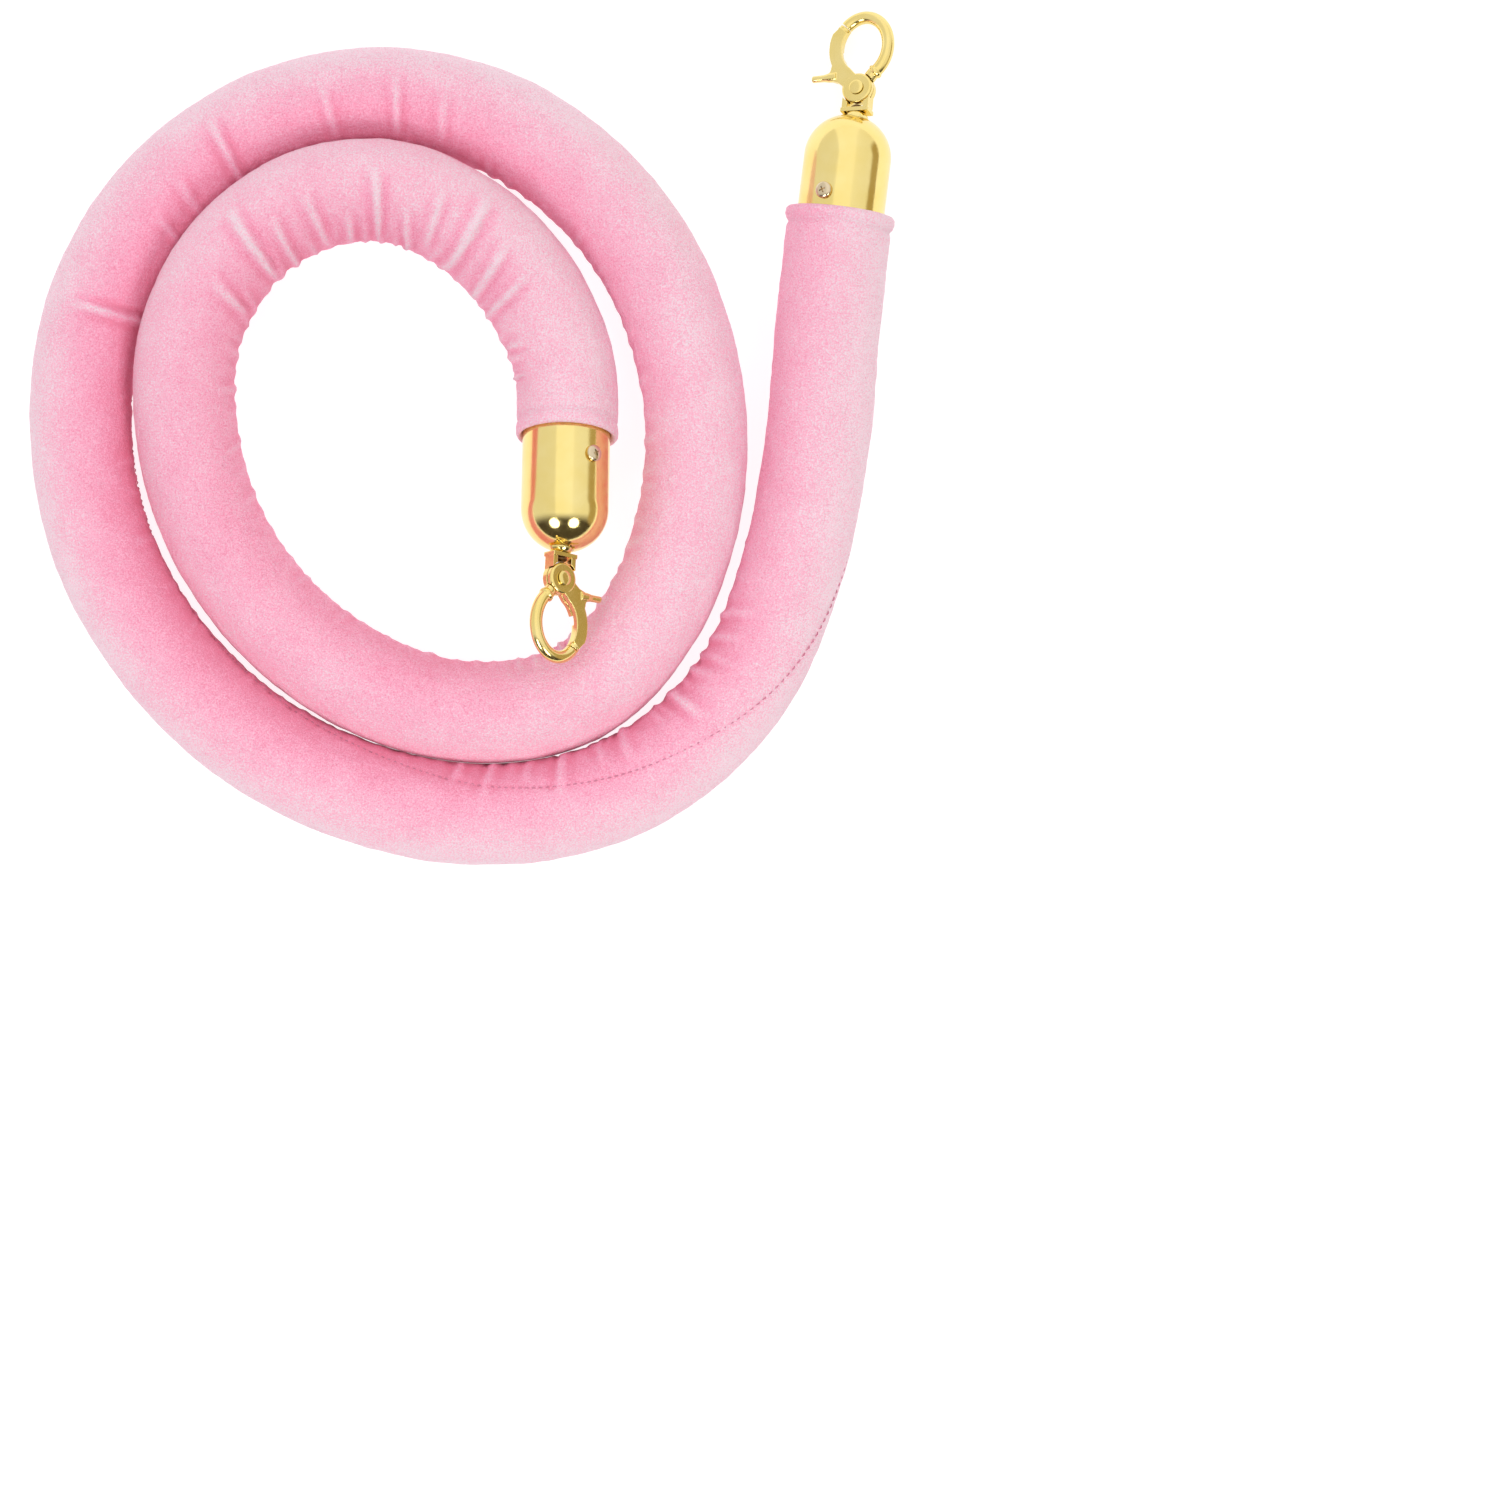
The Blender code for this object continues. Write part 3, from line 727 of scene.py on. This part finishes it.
def wrinkles(place, turn, folds):
    """How far the folds raise the velvet, or lower it where negative."""
    degrees = (np.degrees(turn) + 180.0) % 360.0 - 180.0
    height = np.zeros(np.broadcast(place, turn).shape)
    for at, low, high, rise, width, slant in folds:
        near = np.abs(place[:, 0] - at) < 0.024
        middle = (low + high) / 2
        share = (degrees - middle) / ((high - low) / 2)
        window = np.clip(1 - share**2, 0.0, None) ** 0.8
        off = (place[near] - at - slant * share) / width
        ridge = np.exp(-(off**2))
        valleys = 0.85 * np.exp(-((off - 1.7) ** 2)) + 0.55 * np.exp(-(((off + 1.9) / 1.2) ** 2))
        height[near] += rise * window * (ridge - valleys)
    return height


def plump_radius(place):
    """The rope's radius before its folds: a little more at end A, where the core is packed tighter."""
    return ROPE_RADIUS + EXTRA_RADIUS_A * (1 - smoothstep(0.03, 0.16, place))


def velvet_radius(place, turn, height):
    """The velvet's radius at each distance along the rope and angle from its top, towards the inside."""
    around = np.degrees(turn) / 360.0
    radius = plump_radius(place) + height
    radius = radius + 0.00025 * noise(place / 0.045, around * 6, 6, 1)
    radius = radius + 0.00015 * noise(place / 0.017, around * 10, 10, 2)
    radius = radius + 0.00016 * noise(place / 0.006, around * 24, 24, 3)
    radius = radius - SEAM_DEPTH * beside_seam(place, turn)
    return radius + 0.00013 * noise(place / 0.0021, around * 96, 96, 4)


def hem_profile(end_distance, puff):
    """How the outline swells at a hem, and how far it is drawn in by the hem's stitching."""
    stitched = HEM_STITCHED * np.exp(-(((end_distance - HEM_STITCHED_AT) / 0.0009) ** 2))
    return puff * np.exp(-(((end_distance - 0.0022) / 0.0024) ** 2)) - stitched


def hemmed(place, radius, length):
    """The sleeve's rows, where each hem's lip takes the place of the last rings at its end."""
    middle = slice(LIP_RINGS, -LIP_RINGS)
    first = radius[LIP_RINGS]
    last = radius[-LIP_RINGS - 1]
    rows_place = [depth for depth, _ in LIP]
    rows_radius = [HEM_INNER_R + (first - HEM_INNER_R) * share for _, share in LIP]
    rows_place += list(place[middle, 0])
    rows_radius += list(radius[middle])
    rows_place += [length - depth for depth, _ in LIP[::-1]]
    rows_radius += [HEM_INNER_R + (last - HEM_INNER_R) * share for _, share in LIP[::-1]]
    return np.array(rows_place), np.array(rows_radius)


def velvet_mesh(line):
    """The sleeve: a tube with its folds, its seam's groove and a rolled hem at each end."""
    along, up, right = ring_directions(line)
    length = lengths_along(line)[-1]
    folds = [*FOLDS, *gathers(bend_of(line, along), length)]
    ring_at = np.linspace(0.0, length, RINGS)
    place = ring_at[:, None]
    turn = np.linspace(0.0, 2 * math.pi, SIDES, endpoint=False)[None, :]
    radius = velvet_radius(place, turn, wrinkles(place, turn, folds))
    radius = radius + hem_profile(place, HEM_PUFF_A) + hem_profile(length - place, HEM_PUFF_B)
    rows_place, rows_radius = hemmed(place, radius, length)

    def at_rows(values):
        return np.stack([np.interp(rows_place, ring_at, values[:, axis]) for axis in range(3)], axis=1)

    centres = at_rows(line)
    ups = at_rows(up)[:, None, :]
    rights = at_rows(right)[:, None, :]
    out = np.cos(turn)[..., None] * ups + np.sin(turn)[..., None] * rights
    points = centres[:, None, :] + rows_radius[:, :, None] * out
    points = pressed_together(points, centres, rows_place)
    points[..., 2] = np.maximum(points[..., 2], FLOOR_GAP)

    rows = len(rows_place)
    index = np.arange(rows * SIDES).reshape(rows, SIDES)
    following = np.roll(index, -1, axis=1)
    faces = np.stack([index[:-1], index[1:], following[1:], following[:-1]], axis=-1).reshape(-1, 4)
    mesh = bpy.data.meshes.new("velvet_cover")
    mesh.from_pydata(points.reshape(-1, 3).tolist(), [], faces.tolist())
    mesh.update()
    # This colour attribute carries the pile's lie together with painted crease shade and painted light and
    # shade on the folds
    nap_and_shade = pile_and_painted_shade(rows_place[:, None], turn, wrinkles(rows_place[:, None], turn, folds))
    mesh.attributes.new("nap_and_shade", "FLOAT", "POINT").data.foreach_set("value", nap_and_shade.ravel().astype(np.float32))
    return mesh


def pressed_together(points, centres, place):
    """Where two stretches of rope touch, each is flattened against the plane between them."""
    for row, centre in enumerate(centres):
        away = np.linalg.norm(centres - centre, axis=1)
        away[np.abs(place - place[row]) < LEAST_TURN] = 1.0
        other = int(away.argmin())
        if away[other] > TOUCH_REACH:
            continue
        towards = (centres[other] - centre) / away[other]
        depth = (points[row] - centre) @ towards - (away[other] - TOUCH_GAP) / 2
        points[row] -= np.maximum(depth, 0.0)[:, None] * towards
    return points


def beside_seam(place, turn):
    """1 along the seam, where the cover is drawn in, falling to 0 beside it."""
    across = np.abs((turn - seam_angle(place) + math.pi) % (2 * math.pi) - math.pi) * ROPE_RADIUS
    return np.exp(-((across / SEAM_WIDTH) ** 2))


def pile_and_painted_shade(place, turn, height):
    """How pale the velvet shows, 0 where it shows deepest and 1 where it shows palest: the pile's lie, with
    painted crease shade on the inside of each bend, a painted highlight on fold ridges, painted shade in
    fold valleys, and a little deeper along the seam.
    """
    swing = np.interp(place, NAP_PLACES, PILE_AND_SHADE_SWING)
    shift = np.interp(place, NAP_PLACES, NAP_SHIFT)
    side = np.sin(turn)
    # The inside of each bend is made deeper, partly for the pile and partly as painted crease shade
    nap_and_shade = 0.5 + shift - swing * np.where(side > 0.0, 0.85 * side, side)
    around = np.degrees(turn) / 360.0
    nap_and_shade = nap_and_shade + 0.035 * noise(place / 0.030, around * 7, 7, 5)
    nap_and_shade = nap_and_shade + 0.045 * noise(place / 0.008, around * 18, 18, 6)
    seam = beside_seam(place, turn)
    # Fold ridges are made paler as a painted highlight and fold valleys deeper as painted shade; the seam is
    # a little deeper
    return np.clip(nap_and_shade + np.clip(430.0 * height, -0.32, 0.38) - 0.12 * seam, 0.0, 1.0)


def seam_angle(place):
    """The angle of the cover's sewn seam, from the top towards the inside, along the rope."""
    places = np.linspace(SEAM_PLACES[0], SEAM_PLACES[-1], 500)
    angles = blurred(np.interp(places, SEAM_PLACES, SEAM_ANGLES), 5)
    return np.radians(np.interp(place, places, angles))


def stitches(line):
    """The seam's visible stitches, each a short rounded thread sunk in the velvet."""
    along, up, right = ring_directions(line)
    length = lengths_along(line)[-1]
    ring_at = np.linspace(0.0, length, RINGS)
    bm = bmesh.new()
    place = STITCH_MARGIN
    while place < length - STITCH_MARGIN:
        rings = []
        for share, width in ((-1.0, 0.25), (-0.75, 0.8), (0.0, 1.0), (0.75, 0.8), (1.0, 0.25)):
            at = place + STITCH_HALF * share
            centre, top, inward, ahead = (
                Vector([np.interp(at, ring_at, values[:, axis]) for axis in range(3)])
                for values in (line, up, right, along)
            )
            angle = float(seam_angle(at))
            out = top * math.cos(angle) + inward * math.sin(angle)
            across = ahead.cross(out)
            middle = centre + out * (plump_radius(at) - 0.0001 - 0.0004 * share**2)
            ring = []
            for side in range(STITCH_SIDES):
                turn = 2 * math.pi * side / STITCH_SIDES
                offset = across * math.cos(turn) + out * math.sin(turn)
                ring.append(bm.verts.new(middle + offset * THREAD_R * width))
            rings.append(ring)
        skin(bm, rings)
        place += STITCH_PITCH
    return finish_mesh(bm, "seam_stitches")


def make_velvet():
    line = rope_line()
    pile = velvet_material()
    cover = add("velvet_cover", velvet_mesh(line), pile, "rope", "velvet_sleeve", smooth=None)
    thread = add("seam_stitches", stitches(line), thread_material(), "rope", smooth=None)


# Caps -------------------------------------------------------------------------------------------


def dome(radius, hole, count):
    """Outline points from the hole's edge at the top of a half sphere down to its rim."""
    start = math.asin(hole / radius)
    points = []
    for index in range(count + 1):
        turn = start + (math.pi / 2 - start) * index / count
        points.append((radius * math.sin(turn), radius * math.cos(turn) - CAP_R))
    return points


def radial(depth, turn):
    """Z out from the cap's axis, at a depth below its top and an angle from +Y towards +X."""
    out = Matrix.Rotation(math.radians(-turn), 4, "Z") @ Matrix.Rotation(-math.pi / 2, 4, "X")
    return Matrix.Translation((0.0, 0.0, -depth)) @ out


def cap_mesh(end):
    inner_r = CAP_R - CAP_WALL
    outer = dome(CAP_R, POST_HOLE_R + 0.0002, 36)
    side = [(CAP_R, -CAP_R - (CAP_LENGTH - CAP_R) * step / 12) for step in range(1, 12)]
    mouth = [
        (CAP_R, 0.0004 - CAP_LENGTH),
        (CAP_R - 0.0001, 0.0001 - CAP_LENGTH),
        (CAP_R - 0.0004, -CAP_LENGTH),
        (inner_r, -CAP_LENGTH),
    ]
    inner = dome(inner_r, POST_HOLE_R, 20)[::-1]
    shell = turned([*outer, *side, *mouth, *inner], 144, ring=True)
    hole = turned([(0.0, 0.010), (SCREW_HOLE_R, 0.010), (SCREW_HOLE_R, 0.018), (0.0, 0.018)], 32)
    return combined(shell, ("DIFFERENCE", moved(hole, radial(*end["screw"]))))


def screw_mesh():
    """A pan-head screw with a thread and a cross recess."""
    outline = [(0.0, SCREW_POINT), (SHANK_R, THREAD_LOW - THREAD_PITCH / 2)]
    for turn in range(THREAD_TURNS):
        height = THREAD_LOW + turn * THREAD_PITCH
        outline += [(SHANK_R, height), (SHANK_ROOT_R, height + THREAD_PITCH / 2)]
    outline += [(SHANK_R, HEAD_LOW - 0.0002), (SHANK_R, HEAD_LOW)]
    outline += [(HEAD_R - 0.00015, HEAD_LOW), (HEAD_R, HEAD_LOW + 0.00012), (HEAD_R, HEAD_LOW + HEAD_EDGE)]
    steps = 10
    for step in range(1, steps + 1):
        turn = math.pi / 2 * step / steps
        outline.append((HEAD_R * math.cos(turn), HEAD_LOW + HEAD_EDGE + HEAD_CROWN * math.sin(turn)))
    outline[-1] = (0.0, outline[-1][1])
    arms = []
    for x, y in (CROSS_HALF, CROSS_HALF[::-1]):
        arm = box((-x, -y, HEAD_LOW + 0.0007), (x, y, HEAD_LOW + 0.0030))
        for vertex in arm.vertices:
            if vertex.co.z < HEAD_LOW + 0.001:
                vertex.co.x *= 0.5
                vertex.co.y *= 0.5
        arms.append(("DIFFERENCE", arm))
    return combined(turned(outline, 48), *arms)


def make_cap(letter, end, gold, screw):
    matrix = cap_frame(end)
    shell = moved(cap_mesh(end), matrix)
    add(f"cap_shell_{letter}", shell, gold, "rope", f"end_cap_{letter}")
    place = matrix @ radial(*end["screw"]) @ Matrix.Rotation(0.5, 4, "Z")
    pan = moved(screw_mesh(), place)
    add(f"pan_screw_{letter}", pan, screw, "rope", f"cap_screw_{letter}")


# Hooks ------------------------------------------------------------------------------------------


def ellipse(a, b, start, stop, count):
    """Points (x, z) on an ellipse about the hook's opening, by angle in degrees from +X to +Z."""
    points = []
    for index in range(count + 1):
        turn = math.radians(start + (stop - start) * index / count)
        points.append((a * math.cos(turn), RING_Z + b * math.sin(turn)))
    return points


def flat_path(points):
    return [(x, 0.0, z) for x, z in points]


def eye(radius, low, high, steps=72):
    """A round solid about the pivot, from low to high along Y."""
    return about_y(turned([(0.0, low), (radius, low), (radius, high), (0.0, high)], steps), PIVOT_Z)


def stepped_hole(floor, mouth):
    """A cutter for the rivet's hole, widened from floor to mouth along Y to make room for the spring."""
    outline = [
        (0.0, -mouth),
        (RIVET_HOLE_R, -mouth),
        (RIVET_HOLE_R, floor),
        (SPRING_ROOM_R, floor),
        (SPRING_ROOM_R, mouth),
        (0.0, mouth),
    ]
    return about_y(turned(outline, 48), PIVOT_Z)


def boss(half, low, high):
    """A square block across the hook's axis, from low to high along it."""
    return box((-half[0], -half[1], low), (half[0], half[1], high))


def hook_body_mesh():
    """The hook's casting: foot, block with its window, cheek behind the lever, horn and ring."""
    foot = boss(FOOT_HALF, FOOT_LOW, FOOT_TOP)
    block = boss(BLOCK_HALF, FOOT_TOP - 0.0006, BLOCK_TOP)
    cheek = eye(EYE_R, -PLATE, 0.0008)
    reach = 0.0008
    horn_outline = [
        *ellipse(RING_A + reach, RING_B + reach, -25.0, -50.0, 8),
        (0.0054, 0.0112),
        (-0.0010, 0.0122),
        *ellipse(RING_A - WIRE_R, RING_B - WIRE_R, -66.0, -25.0, 10),
    ]
    horn = plate(horn_outline, -WIRE_R, -SPLIT - 0.00005)
    bend = [(-0.0026, 0.0126), *ellipse(RING_A, RING_B, 240.0, 45.5, 72)]
    ring = rod(flat_path(bend), [WIRE_R] * len(bend), 36)
    collar_path = flat_path(ellipse(RING_A, RING_B, 238.0, 230.0, 4))
    collar_radii = [WIRE_R + swell for swell in (0.0002, 0.0005, 0.0005, 0.0005, 0.0002)]
    collar = rod(collar_path, collar_radii, 36)

    lever_room = eye(KEEP_OUT_R, -SPLIT, 0.0040)
    window = box((-WINDOW_HALF, -0.0040, FOOT_TOP), (WINDOW_HALF, 0.0040, WINDOW_TOP))
    post_hole = turned([(0.0, 0.0), (POST_R, 0.0), (POST_R, POST_HEIGHT), (0.0, POST_HEIGHT)], 32)
    return combined(
        block,
        ("UNION", foot),
        ("UNION", cheek),
        ("UNION", ring),
        ("UNION", collar),
        ("UNION", horn),
        ("DIFFERENCE", lever_room),
        ("DIFFERENCE", window),
        ("DIFFERENCE", post_hole),
        ("DIFFERENCE", stepped_hole(-SPRING_ROOM, 0.0040)),
        voxel=CASTING_VOXEL,
        rounding=CASTING_ROUNDING,
    )


def hook_lever_mesh():
    """The sprung lever that closes the hook, with the peg that the thumb pulls."""
    disc_outline = [
        (0.0, SPLIT),
        (EYE_R, SPLIT),
        (EYE_R, PLATE - 0.0007),
        (EYE_R - 0.0002, PLATE - 0.0003),
        (EYE_R - 0.0007, PLATE),
        (0.0, PLATE),
    ]
    disc = about_y(turned(disc_outline, 72), PIVOT_Z)
    # Up the outer edge, round the tip, down the inner edge, and round the lug at the peg's root
    outline = [
        *ellipse(RING_A + WIRE_R, RING_B + WIRE_R, -30.0, 22.0, 18),
        *ellipse(RING_A + 0.0013, RING_B + 0.0013, 32.0, 37.0, 2),
        *ellipse(0.0069, 0.0092, 36.0, -62.0, 30),
        (0.0, 0.0140),
        (0.0050, 0.0105),
        (0.0072, 0.0122),
        (0.0096, 0.0130),
        (0.0113, 0.0133),
        (0.0121, 0.0142),
        (0.0114, 0.0152),
        (0.0103, 0.0165),
    ]
    arm = plate(outline, SPLIT + 0.00005, PLATE - 0.0001)
    bend = ellipse(RING_A - 0.0002, RING_B, -5.0, 43.0, 20)
    tip = rod(flat_path(bend), [WIRE_R] * 20 + [WIRE_R - 0.0001], 36)
    peg_path = [(x, PEG_Y, 0.0148 - 0.035 * x) for x in (0.0080, 0.0110, 0.0128, 0.0148, 0.0160)]
    peg_radii = [0.0017, 0.0016, 0.00125, PEG_TIP_R, PEG_TIP_R]
    steps = 7
    for step in range(1, steps + 1):
        turn = math.pi / 2 * step / steps
        peg_path.append((PEG_TIP_X + 0.0005 * math.sin(turn), PEG_Y, 0.0142))
        peg_radii.append(max(PEG_TIP_R * math.cos(turn), 0.0001))
    peg = rod(peg_path, peg_radii, 32)
    return combined(
        disc,
        ("UNION", arm),
        ("UNION", tip),
        ("UNION", peg),
        ("DIFFERENCE", stepped_hole(SPRING_ROOM, -0.0040)),
        voxel=CASTING_VOXEL,
        rounding=CASTING_ROUNDING,
    )


def collar_mesh(end):
    """The swivel post's round seat, which fits over the top of the cap's dome."""
    outline = [
        (0.0, 0.0007),
        (0.0030, 0.0007),
        (0.0034, 0.0005),
        (0.0037, 0.0001),
        (0.0043, -0.0008),
        (0.0046, -0.0030),
        (0.0, -0.0030),
    ]
    seat = moved(turned(outline, 64), hook_frame(end))
    ball = moved(turned(dome(CAP_R + 0.00004, 0.0, 40) + [(0.0, -2 * CAP_R)], 96), cap_frame(end))
    return combined(seat, ("DIFFERENCE", ball))


def rivet_mesh():
    """The pivot's rivet, along Y, with a low crown at the front and a peened end behind."""
    gap = PLATE + RIVET_GAP
    outline = [(0.0, -gap - 0.0006), (0.0018, -gap - 0.0006), (0.0024, -gap - 0.0002), (0.0024, -gap)]
    outline += [(RIVET_R, -gap), (RIVET_R, gap), (RIVET_HEAD_R, gap), (RIVET_HEAD_R, gap + 0.0004)]
    steps = 8
    for step in range(1, steps + 1):
        turn = math.pi / 2 * step / steps
        crown = 0.0004 + 0.0004 * math.sin(turn)
        outline.append(((RIVET_HEAD_R - 0.0001) * math.cos(turn), gap + crown))
    outline[-1] = (0.0, outline[-1][1])
    return about_y(turned(outline, 64), PIVOT_Z)


def make_hook(letter, end, gold, rivet):
    matrix = hook_frame(end)
    hook = f"hook_{letter}"
    body = moved(hook_body_mesh(), matrix)
    add(f"hook_casting_{letter}", body, gold, hook, f"hook_body_{letter}", smooth=None)
    latch = moved(hook_lever_mesh(), matrix)
    lever = f"lever_{letter}"
    add(f"hook_latch_{letter}", latch, gold, lever, f"hook_lever_{letter}", smooth=None)
    add(f"post_seat_{letter}", collar_mesh(end), gold, "rope")
    pin = moved(rivet_mesh(), matrix)
    add(f"latch_rivet_{letter}", pin, rivet, hook, f"pivot_rivet_{letter}")


# Studio -----------------------------------------------------------------------------------------


def make_camera():
    camera = bpy.data.objects.new("camera", bpy.data.cameras.new("camera"))
    bpy.context.scene.collection.objects.link(camera)
    camera.location = Vector(CAMERA_PLACE) - BOX_CENTRE
    camera.data.lens = CAMERA_LENS
    camera.data.sensor_width = SENSOR_WIDTH
    camera.data.clip_start = 0.1
    camera.data.clip_end = 20.0
    bpy.context.scene.camera = camera


def make_world():
    """A white room, which the metal reflects: darker on the -Y side and low down on the +X side."""
    world = bpy.data.worlds.new("studio")
    bpy.context.scene.world = world
    world.use_nodes = True
    nodes = world.node_tree.nodes
    links = world.node_tree.links

    def remapped(value, low, high, to_low, to_high):
        node = nodes.new("ShaderNodeMapRange")
        node.interpolation_type = "SMOOTHSTEP"
        links.new(value, node.inputs["Value"])
        for name, number in (("From Min", low), ("From Max", high), ("To Min", to_low), ("To Max", to_high)):
            node.inputs[name].default_value = number
        return node.outputs["Result"]

    def blended(share, first, second):
        node = nodes.new("ShaderNodeMix")
        node.data_type = "RGBA"
        links.new(share, node.inputs[0])
        for socket, value in ((node.inputs[6], first), (node.inputs[7], second)):
            if isinstance(value, bpy.types.NodeSocket):
                links.new(value, socket)
            else:
                socket.default_value = (*value, 1.0)
        return node.outputs[2]

    split = nodes.new("ShaderNodeSeparateXYZ")
    links.new(nodes.new("ShaderNodeTexCoord").outputs["Generated"], split.inputs[0])
    across, along, up = (split.outputs[name] for name in "XYZ")

    panels = nodes.new("ShaderNodeValToRGB")
    links.new(remapped(across, -1.0, 1.0, 0.0, 1.0), panels.inputs["Fac"])
    stops = [(0.0, 0.80), (0.20, 0.84), (0.24, 1.04), (0.74, 1.04), (0.78, 0.94), (1.0, 0.88)]
    band = panels.color_ramp
    while len(band.elements) < len(stops):
        band.elements.new(0.5)
    for element, (position, level) in zip(band.elements, stops):
        element.position = position
        element.color = (level, level, level, 1.0)

    wall = blended(remapped(along, -0.55, -0.15, 0.0, 1.0), (0.07, 0.06, 0.05), panels.outputs["Color"])
    low_side = nodes.new("ShaderNodeMath")
    low_side.operation = "MULTIPLY"
    links.new(remapped(across, 0.80, 0.90, 0.0, 1.0), low_side.inputs[0])
    links.new(remapped(up, 0.30, 0.42, 1.0, 0.0), low_side.inputs[1])
    room = blended(low_side.outputs[0], wall, (0.45, 0.36, 0.20))
    background = nodes["Background"]
    links.new(room, background.inputs["Color"])
    background.inputs["Strength"].default_value = ROOM_LIGHT


def make_softbox(name, place):
    light = bpy.data.objects.new(name, bpy.data.lights.new(name, "AREA"))
    bpy.context.scene.collection.objects.link(light)
    light.location = place
    light.data.shape = "ELLIPSE"
    light.data.size = SOFTBOX_SIZE
    light.data.size_y = SOFTBOX_SIZE
    light.data.energy = SOFTBOX_POWER
    direction = Vector(LIGHT_TARGET) - Vector(place)
    light.rotation_euler = direction.to_track_quat("-Z", "Y").to_euler()


def make_floor():
    bm = bmesh.new()
    bmesh.ops.create_grid(bm, x_segments=1, y_segments=1, size=2.0)
    floor = bpy.data.objects.new("floor", finish_mesh(bm, "floor"))
    bpy.context.scene.collection.objects.link(floor)
    made = Shader("white_floor")
    made.set(Base_Color=FLOOR_COLOUR, Roughness=0.9)
    made.shader.inputs["Emission Color"].default_value = (1.0, 1.0, 1.0, 1.0)
    made.shader.inputs["Emission Strength"].default_value = FLOOR_GLOW
    floor.data.materials.append(made.material)


def make_studio():
    make_camera()
    make_world()
    make_floor()
    for name, place in SOFTBOXES.items():
        make_softbox(name, place)
    scene = bpy.context.scene
    scene.view_settings.view_transform = "Standard"
    scene.view_settings.look = "None"


def dress_hidden_nodes(frame):
    """Better materials on the CAD pieces that stay."""
    steel = steel_material("plated_steel", (0.62, 0.55, 0.42))
    # The swivel post is coloured dark brown as painted shade, standing for the shade inside the hook's
    # window
    post_painted_shade = steel_material("post_painted_shade_dark", (0.20, 0.11, 0.05))
    spring = steel_material("spring_steel_wire", (0.42, 0.40, 0.37))
    wood = wood_material()
    foam = foam_material()
    finishes = {"rope_core": foam}
    for letter in "ab":
        finishes[f"core_plug_{letter}"] = wood
        finishes[f"swivel_post_{letter}"] = post_painted_shade
        finishes[f"post_washer_{letter}"] = steel
        finishes[f"lever_spring_{letter}"] = spring
    for name, material in finishes.items():
        node = frame["nodes"][name]
        for slot in node.material_slots:
            slot.link = "OBJECT"
            slot.material = material


def main():
    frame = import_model()
    make_studio()
    make_velvet()
    cap_gold = gold_material("polished_gold", (0.90, 0.71, 0.25), (0.93, 0.76, 0.32), (0.08, 0.17), 0.10)
    hook_gold = gold_material("cast_gold", (0.88, 0.69, 0.24), (0.92, 0.75, 0.32), (0.10, 0.22), 0.30)
    screw_gold = gold_material("screw_gold", (0.66, 0.52, 0.32), (0.76, 0.64, 0.46), (0.14, 0.28), 0.3)
    for letter, end in (("a", END_A), ("b", END_B)):
        make_cap(letter, end, cap_gold, screw_gold)
        make_hook(letter, end, hook_gold, hook_gold)
    dress_hidden_nodes(frame)


main()
